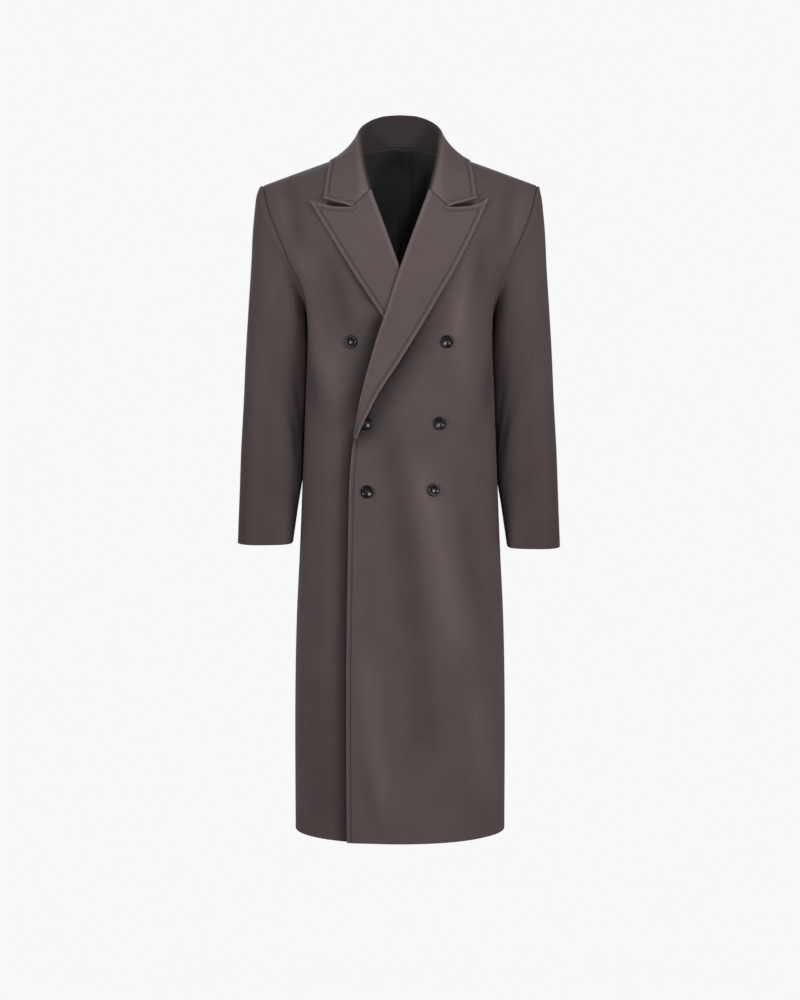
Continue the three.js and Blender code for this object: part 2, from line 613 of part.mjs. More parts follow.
// The normals of a grid of points
function gridNormals(points) {
  const rows = points.length - 1;
  const columns = points[0].length - 1;
  return points.map((line, i) =>
    line.map((_, j) => {
      const down = points[Math.min(i + 1, rows)][j].clone().sub(points[Math.max(i - 1, 0)][j]);
      const across = line[Math.min(j + 1, columns)].clone().sub(line[Math.max(j - 1, 0)]);
      return down.cross(across).normalize();
    })
  );
}
function makeCollar() {
  const face = grid(COLLAR_STATIONS * 2, STAND_STEPS + LEAF_STEPS, (i, k) => {
    const share = Math.abs(i / COLLAR_STATIONS - 1);
    const at = 1 - (1 - share) ** STATION_CROWDING;
    return collarFace(i < COLLAR_STATIONS ? RIGHT : LEFT, at, k);
  });
  const normals = gridNormals(face);
  const outward = normals[COLLAR_STATIONS][STAND_STEPS + LEAF_STEPS].y > 0 ? 1 : -1;
  const under = face.map((line, i) =>
    line.map((p, k) => {
      const atAnEnd = i === 0 || i === 2 * COLLAR_STATIONS;
      if (!atAnEnd) return p.clone().addScaledVector(normals[i][k], -outward * LAPEL_CLOTH);
      const end = collarEndPoint(k, 0);
      end.x *= i === 0 ? RIGHT : LEFT;
      return end;
    })
  );
  return wallGeometry(face, under);
}

// A sleeve: its first two rings carry on the body's surface past the armhole, and the others turn
// out of it into sections of the arm
const RING_POWER = 2.2;
const RING_POINTS = 2 * CHEST_ROWS;
const SEAM_GAP = 0.75; // between the armhole and the sleeve
const SEAM_REACH = 3; // how far the sleeve carries on the body's surface
function armholePoint(k, height, reach) {
  const inFront = k <= CHEST_ROWS;
  const level = rowLevel(inFront ? ROWS - k : SKIRT_ROWS + k - CHEST_ROWS);
  const { halfWidth } = read(bodySections, "level", level);
  const turn = read(armhole, "level", level)[inFront ? "front" : "back"];
  const rising = smooth(ARMPIT_Z + 40, ARMPIT_Z, level);
  const past = Math.min(90, turn + ((1 - rising) * reach * 90) / (halfWidth * Math.PI / 2));
  const raised = Math.min(0, level + rising * reach);
  return inFront
    ? torso(FRONT, past, raised).addScaledVector(frontNormal(past, raised), height)
    : torso(BACK, past, raised).addScaledVector(backNormal(past, raised), height);
}

// The place of each of the armhole's rows round a ring: 0 at the top, 90 in front, 180 below
function ringAngle(k) {
  const top = armholePoint(0, 0, SEAM).z;
  const bottom = armholePoint(CHEST_ROWS, 0, SEAM).z;
  const { z } = armholePoint(k, 0, SEAM);
  const angle = (Math.acos(clamp((2 * (z - bottom)) / (top - bottom) - 1, -1, 1)) * 180) / Math.PI;
  return k <= CHEST_ROWS ? angle : 360 - angle;
}
const power = (value, exponent) => Math.sign(value) * Math.abs(value) ** exponent;
function ringPoint(ring, k, drop, inset) {
  const angle = radians(ringAngle(k));
  const inside = (1 - power(Math.cos(angle), 2 / RING_POWER)) / 2;
  return vec(
    mix(ring.outX - inset * smooth(0, 0.06, ring.along), ring.inX, inside),
    mix(ring.outY, ring.inY, inside) - ring.depth * power(Math.sin(angle), 2 / RING_POWER),
    mix(ring.outZ, ring.inZ, inside) - drop * smooth(0.1, 0.8, ring.along)
  );
}
function makeSleeve(side) {
  const first = sleeveRings[0];
  const drop = side === LEFT ? LEFT_SLEEVE_DROP : 0;
  const inset = side === LEFT ? LEFT_SLEEVE_INSET : 0;
  const face = grid(sleeveRings.length, RING_POINTS - 1, (i, k) => {
    if (i < 2) return armholePoint(k, 0, i === 0 ? SEAM_GAP : SEAM_REACH);
    const ring = sleeveRings[i - 1];
    const shape = armholePoint(k, 0, SEAM).sub(ringPoint(first, k, 0, 0));
    return ringPoint(ring, k, drop, inset).addScaledVector(shape, ring.armhole);
  });
  const inner = face.map((line, i) =>
    line.map((p, k) => {
      if (i === 0) return armholePoint(k, -CLOTH, SEAM_GAP);
      const along = face[Math.min(i + 1, face.length - 1)][k].clone().sub(face[i - 1][k]);
      const round = line[(k + 1) % RING_POINTS].clone().sub(line[(k + RING_POINTS - 1) % RING_POINTS]);
      return p.clone().addScaledVector(round.cross(along).normalize(), -CLOTH);
    })
  );
  for (const line of [...face, ...inner]) for (const p of line) p.x *= side;
  return wallGeometry(face, inner, { closed: true, flip: side === RIGHT });
}

// The buttons, each with four holes, seated square to the cloth
const BUTTON_SIDES = 18;
const HOLE_SIDES = 6;
const HOLE_RADIUS = 1.1;
const HOLE_OFFSET = 2.1;
const buttonProfile = [
  { radius: 0, height: 0 },
  { radius: 9.6, height: 0 },
  { radius: 11.4, height: 1.5 },
  { radius: 11.1, height: 3.2 },
  { radius: 10, height: 3.8 },
  { radius: 8.2, height: 3.4 },
  { radius: 7, height: 2.5 },
  { radius: 0, height: 2.3 },
];

const wasm = await Module();
wasm.setup();
const { Manifold, Mesh } = wasm;
function toManifold(geometry) {
  const plain = new THREE.BufferGeometry();
  plain.setAttribute("position", geometry.getAttribute("position"));
  plain.setIndex(geometry.getIndex());
  const merged = mergeVertices(plain, 1e-4);
  return new Manifold(
    new Mesh({
      numProp: 3,
      vertProperties: new Float32Array(merged.getAttribute("position").array),
      triVerts: new Uint32Array(merged.getIndex().array),
    })
  );
}
function fromManifold(solid) {
  const mesh = solid.getMesh();
  const geometry = new THREE.BufferGeometry();
  geometry.setAttribute("position", new THREE.BufferAttribute(Float32Array.from(mesh.vertProperties), 3));
  geometry.setIndex(new THREE.BufferAttribute(Uint32Array.from(mesh.triVerts), 1));
  return geometry;
}
function makeButtonShape() {
  const profile = buttonProfile.map(({ radius, height }) => new THREE.Vector2(radius, height));
  const turned = new THREE.LatheGeometry(profile, BUTTON_SIDES).rotateX(Math.PI / 2);
  let solid = toManifold(turned);
  for (const [x, y] of [[1, 1], [1, -1], [-1, 1], [-1, -1]]) {
    const drill = Manifold.cylinder(3 * BUTTON_HEIGHT, HOLE_RADIUS, HOLE_RADIUS, HOLE_SIDES, true);
    solid = solid.subtract(drill.translate([x * HOLE_OFFSET, y * HOLE_OFFSET, 0]));
  }
  return fromManifold(solid);
}
function makeButton(shape, { x, z, front }) {
  const level = levelOf(x, z);
  const turn = turnOf(x, level);
  const outward = frontNormal(turn, level);
  const across = vec(1, 0, 0).cross(outward).cross(outward).negate().normalize();
  const up = vec(0, 0, 0).crossVectors(outward, across);
  const frame = new THREE.Matrix4().makeBasis(across, up, outward);
  frame.setPosition(frontAt(front, x, z, BUTTON_SEAT));
  const geometry = shape.clone().applyMatrix4(frame);
  if (signedVolume(geometry) < 0) geometry.setIndex(Array.from(geometry.getIndex().array).reverse());
  geometry.computeVertexNormals();
  return geometry;
}

const coat = new THREE.Group();
addMesh(coat, "front_right", makeFront(RIGHT), WOOL);
addMesh(coat, "front_left", makeFront(LEFT), WOOL);
addMesh(coat, "back", makeBack(), WOOL);
addMesh(coat, "lining_back", makeLining(), LINING);
addMesh(coat, "lapel_right", makeLapel(RIGHT), WOOL);
addMesh(coat, "lapel_left", makeLapel(LEFT), WOOL);
addMesh(coat, "collar", makeCollar(), WOOL);
addMesh(coat, "sleeve_right", makeSleeve(RIGHT), WOOL);
addMesh(coat, "sleeve_left", makeSleeve(LEFT), WOOL);
const buttonShape = makeButtonShape();
for (const button of buttons) addMesh(coat, button.name, makeButton(buttonShape, button), HORN);

export default coat;
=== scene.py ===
# %% [markdown]
# # A long double-breasted coat with peaked lapels
# The coat is cut from melton, a wool cloth that is felted after weaving until no weave shows. It holds
# the shape that it has when it is worn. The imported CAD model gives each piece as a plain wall. Here each
# piece is made again on a finer grid from the same rules, so that it lies where its solid lies, and gets
# what the solid leaves out: rounded edges, stitched channels, creases, thread and the cloth itself.
#
# All the making is in millimetres, as a tailor measures, and a mesh turns to metres when it is built.

# %% Load the frame
import math

import bpy
import numpy as np
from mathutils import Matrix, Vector


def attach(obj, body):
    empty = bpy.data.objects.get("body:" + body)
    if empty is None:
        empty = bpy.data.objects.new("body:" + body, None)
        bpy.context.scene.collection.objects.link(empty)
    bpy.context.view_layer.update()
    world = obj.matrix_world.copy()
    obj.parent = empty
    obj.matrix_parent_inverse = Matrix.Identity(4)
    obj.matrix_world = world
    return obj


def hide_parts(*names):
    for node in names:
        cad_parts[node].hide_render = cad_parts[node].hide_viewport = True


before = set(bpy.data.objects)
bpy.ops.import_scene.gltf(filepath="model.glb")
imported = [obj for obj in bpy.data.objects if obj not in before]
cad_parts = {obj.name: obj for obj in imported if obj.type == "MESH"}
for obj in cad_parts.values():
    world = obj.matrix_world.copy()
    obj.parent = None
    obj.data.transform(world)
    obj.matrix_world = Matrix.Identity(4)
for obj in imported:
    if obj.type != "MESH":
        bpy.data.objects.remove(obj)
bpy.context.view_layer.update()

# %% [markdown]
# ## The camera, the floor and the light
# The hem curves down and the cuffs show their openings from a little above, which fixes how far away the
# camera stands and how it tilts. A long lens from five and a half metres keeps the coat's sides parallel.

# %% Set the camera
CAMERA = {"distance": 5.66, "height": -0.14, "tilt": 4.91, "lens": 113.2}

camera_data = bpy.data.cameras.new("camera")
camera_data.lens = CAMERA["lens"]
camera = bpy.data.objects.new("camera", camera_data)
camera.location = (0, -CAMERA["distance"], CAMERA["height"])
camera.rotation_euler = (math.radians(90 - CAMERA["tilt"]), 0, 0)
bpy.context.scene.collection.objects.link(camera)
bpy.context.scene.camera = camera
print("camera at", tuple(camera.location))

# %% [markdown]
# The room is a white sweep with its own even glow, so that neither the floor nor the wall shows an edge. It
# lights nothing: what lights the coat is a lamp well out at each side, at the height of the shoulders, a
# small one above the camera, and a low glow from all round. Beside an edge that stands off the cloth below
# it one of them is hidden, which helps to draw the dark bands along the lapels and the closed front; the
# rest of each band is painted shade. A fourth lamp lights the back.


# %% Light the room
def linear(*srgb):
    """A colour as it is read off a screen, 0 to 255, in the linear light that shaders use."""
    shares = [value / 255 for value in srgb]
    return tuple(s / 12.92 if s <= 0.04045 else ((s + 0.055) / 1.055) ** 2.4 for s in shares)


PAPER = linear(248, 248, 248)
FLOOR_LEVEL = -1.53
GLOW = 0.45
ROOM_REACH = 14
FLOOR_DEPTH = 0.01

scene = bpy.context.scene
scene.view_settings.view_transform = "Standard"
scene.world = bpy.data.worlds.new("white_room")
scene.world.use_nodes = True
glow = scene.world.node_tree.nodes["Background"].inputs
glow["Color"].default_value = (1, 1, 1, 1)
glow["Strength"].default_value = GLOW

sweep = bpy.data.materials.new("white_sweep")
sweep.use_nodes = True
sweep_shader = sweep.node_tree.nodes["Principled BSDF"]
sweep_shader.inputs["Base Color"].default_value = (0, 0, 0, 1)
sweep_shader.inputs["Specular IOR Level"].default_value = 0
sweep_shader.inputs["Emission Color"].default_value = (*PAPER, 1)
sweep_shader.inputs["Emission Strength"].default_value = 1
ROOM = {"floor": (FLOOR_LEVEL, FLOOR_LEVEL - FLOOR_DEPTH), "walls": (FLOOR_LEVEL, ROOM_REACH)}
PLAN = [(x * ROOM_REACH, y * ROOM_REACH) for x, y in ((-1, -1), (1, -1), (1, 1), (-1, 1))]
sides = [(0, 1, 5, 4), (1, 2, 6, 5), (2, 3, 7, 6), (3, 0, 4, 7), (4, 5, 6, 7)]
for name, (low, high) in ROOM.items():
    corners = [(x, y, z) for z in (low, high) for x, y in PLAN]
    mesh = bpy.data.meshes.new(name)
    mesh.from_pydata(corners, [], [(0, 1, 2, 3)] if name == "floor" else sides)
    mesh.materials.append(sweep)
    stage_piece = bpy.data.objects.new(name, mesh)
    stage_piece.visible_diffuse = False
    stage_piece.visible_glossy = False
    stage_piece.visible_shadow = False
    scene.collection.objects.link(stage_piece)

LAMPS = [dict(zip("name place aim_level size watts".split(), row)) for row in (
    ("right_lamp", (3.4, -3.75, 0.5), -0.45, 1.3, 149),
    ("left_lamp", (-3.4, -3.75, 0.5), -0.45, 1.3, 125),
    ("front_lamp", (0.9, -5.5, 0.7), -0.45, 0.6, 56),
    ("back_lamp", (-0.8, 3.8, 1.8), -0.5, 2.4, 190),
)]
for lamp in LAMPS:
    data = bpy.data.lights.new(lamp["name"], "AREA")
    data.size = lamp["size"]
    data.energy = lamp["watts"]
    light = bpy.data.objects.new(lamp["name"], data)
    light.location = lamp["place"]
    aim = Vector((0, 0, lamp["aim_level"])) - Vector(lamp["place"])
    light.rotation_euler = aim.to_track_quat("-Z", "Y").to_euler()
    scene.collection.objects.link(light)
print(len(LAMPS), "lamps in a white room")

# %% [markdown]
# ## Reading a form from a short table
# A garment's form changes smoothly from one level to the next, so a few measured sections are enough. Each
# table has named columns, and is read at any place along its first column on a smooth curve.


# %% Tables and small sums
class Table:
    """Rows of numbers under named columns, read along a smooth curve through the rows."""

    def __init__(self, columns, rows):
        self.columns = columns.split()
        self.rows = np.array(rows, float)

    def read(self, column, at):
        keys = self.rows[:, 0]
        values = self.rows[:, self.columns.index(column)]
        slopes = np.empty(len(keys))
        slopes[1:-1] = (values[2:] - values[:-2]) / (keys[2:] - keys[:-2])
        slopes[[0, -1]] = np.diff(values)[[0, -1]] / np.diff(keys)[[0, -1]]
        i = np.clip(np.searchsorted(keys, at) - 1, 0, len(keys) - 2)
        span = keys[i + 1] - keys[i]
        t = np.clip((at - keys[i]) / span, 0, 1)
        rest = 1 - t
        curve = values[i] * (1 + 2 * t) * rest**2 + values[i + 1] * t**2 * (3 - 2 * t)
        return curve + span * t * rest * (slopes[i] * rest - slopes[i + 1] * t)


def mix(a, b, t):
    return a + (b - a) * t


def smooth(start, end, value):
    t = np.clip((value - start) / (end - start), 0, 1)
    return t * t * (3 - 2 * t)


def bell(value, middle, width):
    """A soft bump: 1 at the middle, and near nothing two widths away."""
    return np.exp(-(((value - middle) / width) ** 2))


def power(value, exponent):
    return np.sign(value) * np.abs(value) ** exponent


def unit(vectors):
    return vectors / np.maximum(np.linalg.norm(vectors, axis=-1, keepdims=True), 1e-12)


def xyz(x, y, z):
    return np.stack(np.broadcast_arrays(x, y, z), axis=-1).astype(float)


def spline(points, k):
    """Points at the fractional places k along axis 1 of an array of points, on a smooth curve."""
    last = points.shape[1] - 1
    steps = np.linalg.norm(np.diff(points, axis=1), axis=2)
    along = np.concatenate([np.zeros((len(points), 1)), np.cumsum(steps, axis=1)], axis=1)[..., None]
    slopes = np.empty_like(points)
    slopes[:, 1:-1] = (points[:, 2:] - points[:, :-2]) / (along[:, 2:] - along[:, :-2])
    slopes[:, [0, last]] = (points[:, [1, last]] - points[:, [0, last - 1]]) / (
        along[:, [1, last]] - along[:, [0, last - 1]]
    )
    i = np.clip(np.floor(k).astype(int), 0, last - 1)
    t = (k - i)[None, :, None]
    rest = 1 - t
    span = along[:, i + 1] - along[:, i]
    curve = points[:, i] * (1 + 2 * t) * rest**2 + points[:, i + 1] * t**2 * (3 - 2 * t)
    return curve + span * t * rest * (slopes[:, i] * rest - slopes[:, i + 1] * t)


print("tables are read on smooth curves")

# %% [markdown]
# ## The form that the coat is built on
# A tailor builds on a block: the chest, waist and hips in sections, and shoulders that slope from the
# neck. These are the CAD model's own sections. A point on the body has a turn, in degrees from the
# centre, and a level, its height before the slope of the shoulders is added.

# %% The block's sizes
HEM = -1225
ARMPIT = -300
SHOULDER_RISE = 32
SHOULDER_SLOPE = 0.375
NECK_ROUNDING = 45
CLOTH = 2.6
LAPEL_CLOTH = 2.4
LINING_CLOTH = 1.0
SEAM = 0.3
CLOSED = 0.008
SIDE_REACH = 1.0
RIGHT, LEFT = -1, 1
FRONT, BACK = -1, 1

SECTIONS = Table("level half_width front back squareness", [
    (-1225, 190, 159, 152, 2.02),
    (-1000, 190, 158, 149, 2.08),
    (-845, 187, 157, 146, 2.15),
    (-700, 180, 157, 143, 2.25),
    (-600, 176, 157, 138, 2.3),
    (-444, 170, 154, 130, 2.35),
    (-300, 167, 151, 136, 2.4),
    (-240, 181, 150, 138, 2.4),
    (-160, 233, 150, 138, 2.4),
    (-70, 264, 150, 140, 2.4),
    (0, 280, 150, 195, 2.4),
])
ARMHOLE = Table("level front back", [
    (-300, 90, 90),
    (-270, 80, 82),
    (-235, 71, 75),
    (-195, 64, 69),
    (-150, 60, 65),
    (-70, 61, 63),
    (0, 61, 61),
])
FRONT_EDGE = Table("z x", [
    (-1225, -91),
    (-1000, -92),
    (-780, -90),
    (-648, -87),
    (-556, -84),
    (-505, -79.5),
    (-470, -72),
    (-429, -62.5),
    (-328, -36),
    (-262, -15),
    (-208, 2.5),
    (-126, 32.5),
    (-71, 53),
    (-46, 60),
    (-23, 66.5),
    (0.2, 72),
])
print("the block has", len(SECTIONS.rows), "sections")

# %% [markdown]
# ## How the cloth hangs
# Felted wool is heavy and springy, so it makes few folds, broad and soft. Each is a line down the body,
# with a width and a rise, which is less than nothing for a hollow. The first rows are the solids' own
# folds. The finer ones after them are too slight for a solid: drag lines from the shoulders, the pull
# towards the fastened buttons, and the easing of the cloth at the waist.

# %% The folds of the body
FOLD_COLUMNS = "face top_turn top_level low_turn low_level width rise"
FOLDS = [dict(zip(FOLD_COLUMNS.split(), row)) for row in (
    (FRONT, -2, -600, 14, -1060, 8, -3.5),
    (FRONT, 16, -600, 38, -900, 8, 3),
    (FRONT, -48, -640, -56, -1150, 9, 2.5),
    (FRONT, 66, -420, 78, -520, 9, -3.5),
    (FRONT, -66, -420, -78, -520, 9, -3.5),
    (BACK, -34, -420, -42, -1225, 11, 5),
    (BACK, 36, -460, 40, -1225, 11, 5),
    (BACK, -8, -560, -4, -1225, 10, -4),
)]
FOLD_END = 120
CREASES = [dict(zip("face top_x top_z low_x low_z width rise".split(), row)) for row in (
    (FRONT, -178, -185, -126, -430, 20, 9.5),
    (FRONT, -124, -200, -90, -330, 16, -5.5),
    (FRONT, -112, -340, -106, -420, 18, 3.5),
    (FRONT, -161, -385, -154, -445, 15, -9.5),
    (FRONT, 161, -385, 154, -445, 15, -9.5),
    (FRONT, 126, -190, 100, -320, 16, 4.5),
    (FRONT, 150, -150, 134, -240, 16, -5.0),
    (FRONT, 108, -250, 122, -430, 27, 4.6),
    (FRONT, -20, -490, 30, -860, 27, -5.6),
    (FRONT, 32, -860, 46, -1050, 30, -4.5),
    (FRONT, 36, -560, 112, -890, 31, 5.8),
    (FRONT, 108, -600, 136, -790, 18, -3.5),
    (FRONT, 134, -940, 160, -1140, 24, 4.5),
    (FRONT, -62, -900, -30, -1160, 20, 4.5),
    (FRONT, -70, -1080, -48, -1180, 12, -2.5),
    (FRONT, -140, -980, -136, -1200, 24, -3.5),
    (FRONT, -128, -490, -126, -560, 26, 2.5),
    (FRONT, -190, -70, -176, -170, 14, -4.0),
    (FRONT, -214, -80, -200, -180, 12, 3.0),
    (FRONT, 196, -70, 180, -165, 14, -4.0),
    (FRONT, 214, -85, 204, -190, 12, 3.0),
    (BACK, -150, -150, -96, -330, 22, -5.0),
    (BACK, 146, -140, 100, -340, 24, -4.6),
    (BACK, -60, -120, -30, -330, 20, 3.0),
    (BACK, 70, -150, 30, -420, 22, 2.6),
    (BACK, 128, -420, 90, -700, 20, -4.5),
    (BACK, -120, -470, -70, -800, 22, -5.0),
)]
CREASE_END = 55


def crease_rise(face, x, z):
    """How far the finer creases move the cloth out, in mm."""
    rise = 0 * (x + z)
    for crease in CREASES:
        if crease["face"] != face:
            continue
        top, low = crease["top_z"], crease["low_z"]
        middle = mix(crease["top_x"], crease["low_x"], (top - z) / (top - low))
        upper = smooth(top + CREASE_END, top - CREASE_END, z)
        lower = smooth(low - CREASE_END, low + CREASE_END, z)
        rise = rise + crease["rise"] * bell(x, middle, crease["width"]) * upper * lower
    return rise


def fold_rise(face, turn, level):
    """How far the broad folds move the cloth out, in mm."""
    rise = 0 * (turn + level)
    for fold in FOLDS:
        if fold["face"] != face:
            continue
        top, low = fold["top_level"], fold["low_level"]
        t = np.clip((top - level) / (top - low), 0, 1)
        faded = smooth(top + FOLD_END, top - FOLD_END, level)
        if low > HEM:
            faded = faded * smooth(low - FOLD_END, low + FOLD_END, level)
        middle = mix(fold["top_turn"], fold["low_turn"], t)
        rise = rise + fold["rise"] * bell(turn, middle, fold["width"]) * faded
    return rise


print(len(FOLDS), "broad folds and", len(CREASES), "creases on the body")


# %% Points and normals of the body
def shoulder_height(x):
    return SHOULDER_RISE - SHOULDER_SLOPE * np.hypot(x, NECK_ROUNDING)


def torso(face, turn, level):
    """A point of the body's outer surface."""
    turn, level = np.broadcast_arrays(np.asarray(turn, float), np.asarray(level, float))
    across = np.sin(np.radians(turn))
    up = np.clip(1 - level / ARMPIT, 0, 1)
    x = SECTIONS.read("half_width", level) * across
    squareness = SECTIONS.read("squareness", level)
    height = level + up * shoulder_height(x)
    depth = SECTIONS.read("front" if face == FRONT else "back", level)
    depth = depth + fold_rise(face, turn, level) + crease_rise(face, x, height)
    round_it = np.maximum(0, 1 - np.abs(across) ** squareness) ** (1 / squareness)
    y = face * depth * round_it * np.sqrt(np.maximum(0, 1 - up**2))
    return xyz(x, y, height)


def body_normal(face, turn, level):
    """The direction straight out of the body."""
    turn, level = np.broadcast_arrays(np.asarray(turn, float), np.asarray(level, float))
    next_turn, last_turn = np.minimum(turn + 0.5, 90), np.maximum(turn - 0.5, -90)
    round_it = torso(face, next_turn, level) - torso(face, last_turn, level)
    upward = torso(face, turn, np.minimum(level + 1, 0)) - torso(face, turn, np.maximum(level - 1, HEM))
    normal = unit(np.cross(round_it, upward))
    on_side = (np.abs(normal[..., 1]) < 1e-3) & (normal[..., 0] * turn < 0)
    wrong = (normal[..., 1] * face < 0) | on_side
    return np.where(wrong[..., None], -normal, normal)


def level_of(x, z):
    """The level that has the height z at the distance x from the centre."""
    over = np.clip((z - ARMPIT) / (shoulder_height(x) - ARMPIT), 0, 1)
    return np.where(z <= ARMPIT, z, ARMPIT * (1 - over))


def turn_of(x, level):
    share = np.clip(x / SECTIONS.read("half_width", level), -1, 1)
    return np.degrees(np.arcsin(share))


def edge_at(level):
    """Where the front's edge is at a level: its distance from the centre."""
    x = 0 * level
    for _ in range(5):
        z = level + np.clip(1 - level / ARMPIT, 0, 1) * shoulder_height(x)
        x = FRONT_EDGE.read("x", z)
    return x


print("chest point", torso(FRONT, 0.0, -200.0).round(1))

# %% [markdown]
# The wearer's left front closes over the right one and over the right lapel, so it stands a little
# further out there. Whatever lies on a front, such as a lapel or a button, is placed from the front's
# own points, moved out along the normal.

# %% The two fronts
OVERLAP_CLEARANCE = 1.2
LAPEL_LIFT = 1.0
EDGE_FLARE = {"roll": 7.5, "skirt": 5.5, "reach": 48}


def edge_flare(x, level):
    """How far the closed edge springs off the front below it."""
    amount = EDGE_FLARE["roll"] * smooth(-255, -330, level) * smooth(-520, -430, level)
    amount = amount + EDGE_FLARE["skirt"] * smooth(-500, -600, level)
    return amount * smooth(EDGE_FLARE["reach"], 0, x - edge_at(level))


def overlap_lift(x, level):
    over_front = CLOTH + OVERLAP_CLEARANCE
    over_lapel = (LAPEL_CLOTH + LAPEL_LIFT + 0.5) * smooth(-760, -515, level)
    return (over_front + over_lapel) * smooth(-110, -205, level) * smooth(166, 97, x) + edge_flare(x, level)


def front_point(side, turn, level, height=0.0):
    point = torso(FRONT, turn, level)
    lift = overlap_lift(point[..., 0], level) if side == LEFT else 0.0
    return point + body_normal(FRONT, turn, level) * np.asarray(lift + height)[..., None]


def front_at(side, x, z, height=0.0):
    level = level_of(x, z)
    return front_point(side, turn_of(x, level), level, height)


print("the left front lies", round(float(overlap_lift(0, -450)), 1), "mm further out over the lapel")

# %% [markdown]
# ## Meshes from grids of points
# A piece of cloth has two faces and a rim. Each piece is two grids of points with the same rows and
# columns, joined round their borders into one closed wall. The points crowd together where a turned edge
# or a stitched channel needs them, and are spaced by the length of the cloth everywhere else, which also
# gives each piece a flat map in metres, for the nap to follow.

# %% Spacing, edges and walls
EDGE_STEPS = np.array([
    0, 0.12, 0.35, 0.7, 1.2, 1.9, 2.8, 3.8, 4.8, 5.7, 6.4, 7, 7.5, 8, 8.5, 9, 9.7, 10.7, 12, 14,
])
SEAM_STEPS = np.array([0, 0.12, 0.35, 0.7, 1.2, 2, 3.2, 5])
STITCH_LINE = 8.0
RIM = {"height": 0.55, "begins": (0, 2.2), "ends": (7.4, 4.6)}
CHANNEL_DIP = {"depth": 1.25, "width": 1.15}
CHANNEL_SWELL = {"height": 0.35, "at": 12, "width": 2.6}
SEAM_DIP = {"depth": 0.7, "width": 1.9}
SEAM_SWELL = {"height": 0.25, "at": 5, "width": 3}
LEFT_IN_EDGE = 0.12


def spaced(length, first, last, middle):
    """Distances along each length: the steps at both ends, and even steps between."""
    length = np.atleast_1d(np.asarray(length, float))[:, None]
    shrink = np.minimum(1, 0.9 * length / (first[-1] + last[-1]))
    start, end = first * shrink, length - last[::-1] * shrink
    between = np.linspace(0, 1, middle + 2)[1:-1]
    return np.concatenate([start, mix(start[:, -1:], end[:, :1], between), end], axis=1)


def lengths(points, axis):
    """The distance along the cloth from the first row or column."""
    steps = np.linalg.norm(np.diff(points, axis=axis), axis=-1)
    return np.insert(np.cumsum(steps, axis=axis), 0, 0, axis=axis)


def respaced(points, places, first, last, middle):
    """The places, one line to a row, at which each row's points are spaced as asked."""
    along = lengths(points, 1)
    wanted = spaced(along[:, -1], first, last, middle)
    return np.array([np.interp(w, a, p) for w, a, p in zip(wanted, along, places)])


def border_distance(points, closed=False):
    """How far each point is from the nearest border of its grid."""
    down = lengths(points, 0)
    distance = np.minimum(down, down[-1:] - down)
    if closed:
        return distance
    across = lengths(points, 1)
    return np.minimum(distance, np.minimum(across, across[:, -1:] - across))


def line_distance(points, line):
    """How far each point is from a line of points."""
    flat = points.reshape(-1, 3)
    start, run = line[:-1], np.diff(line, axis=0)
    found = np.empty(len(flat))
    for at in range(0, len(flat), 2000):
        to = flat[at : at + 2000, None] - start
        t = np.clip((to * run).sum(2) / np.maximum((run * run).sum(1), 1e-9), 0, 1)
        found[at : at + 2000] = np.linalg.norm(to - run * t[..., None], axis=2).min(1)
    return found.reshape(points.shape[:-1])


def turned_edge(distance, thickness):
    """How far a face falls towards the middle of the cloth where it turns round an edge."""
    radius = thickness / 2 - LEFT_IN_EDGE
    t = np.clip(1 - distance / radius, 0, 1)
    return radius * (1 - np.sqrt(1 - t * t))


def stitched_edge(distance):
    """The relief of a seamed edge: a full rim, the channel that its stitches pull in, and a swell."""
    rim = RIM["height"] * smooth(*RIM["begins"], distance) * smooth(*RIM["ends"], distance)
    channel = CHANNEL_DIP["depth"] * bell(distance, STITCH_LINE, CHANNEL_DIP["width"])
    swell = CHANNEL_SWELL["height"] * bell(distance, CHANNEL_SWELL["at"], CHANNEL_SWELL["width"])
    return rim - channel + swell


def sewn_seam(distance):
    """The relief beside a plain seam, where the cloth dips into it."""
    swell = SEAM_SWELL["height"] * bell(distance, SEAM_SWELL["at"], SEAM_SWELL["width"])
    return swell - SEAM_DIP["depth"] * bell(distance, 0, SEAM_DIP["width"])


edges = {}


def keep_edge(name, form, normals, finished, *views):
    """Keeps the grids whose first columns are a piece's stitched edges, for the stitches to follow."""
    grid = np.concatenate([form, normals], axis=-1)
    edges[name] = {"finished": finished, "grids": [view(grid) for view in views]}


def facing_front(normals):
    return -normals if normals[..., 1].mean() > 0 else normals


def grid_normals(points, closed=False):
    down = np.gradient(points, axis=0)
    if closed:
        across = np.roll(points, -1, axis=1) - np.roll(points, 1, axis=1)
    else:
        across = np.gradient(points, axis=1)
    return unit(np.cross(down, across))


print(len(EDGE_STEPS), "steps across a stitched edge")


# %% Build a closed wall
pieces = {}
FACES_OF_CLOTH = 2


def quads_of(rows, columns, closed):
    """The four corners of each face of a grid, as places in a list of its points."""
    i, j = np.meshgrid(np.arange(rows - 1), np.arange(columns if closed else columns - 1), indexing="ij")
    right = (j + 1) % columns
    upper, lower = i * columns, (i + 1) * columns
    return np.stack([upper + j, upper + right, lower + right, lower + j], -1)


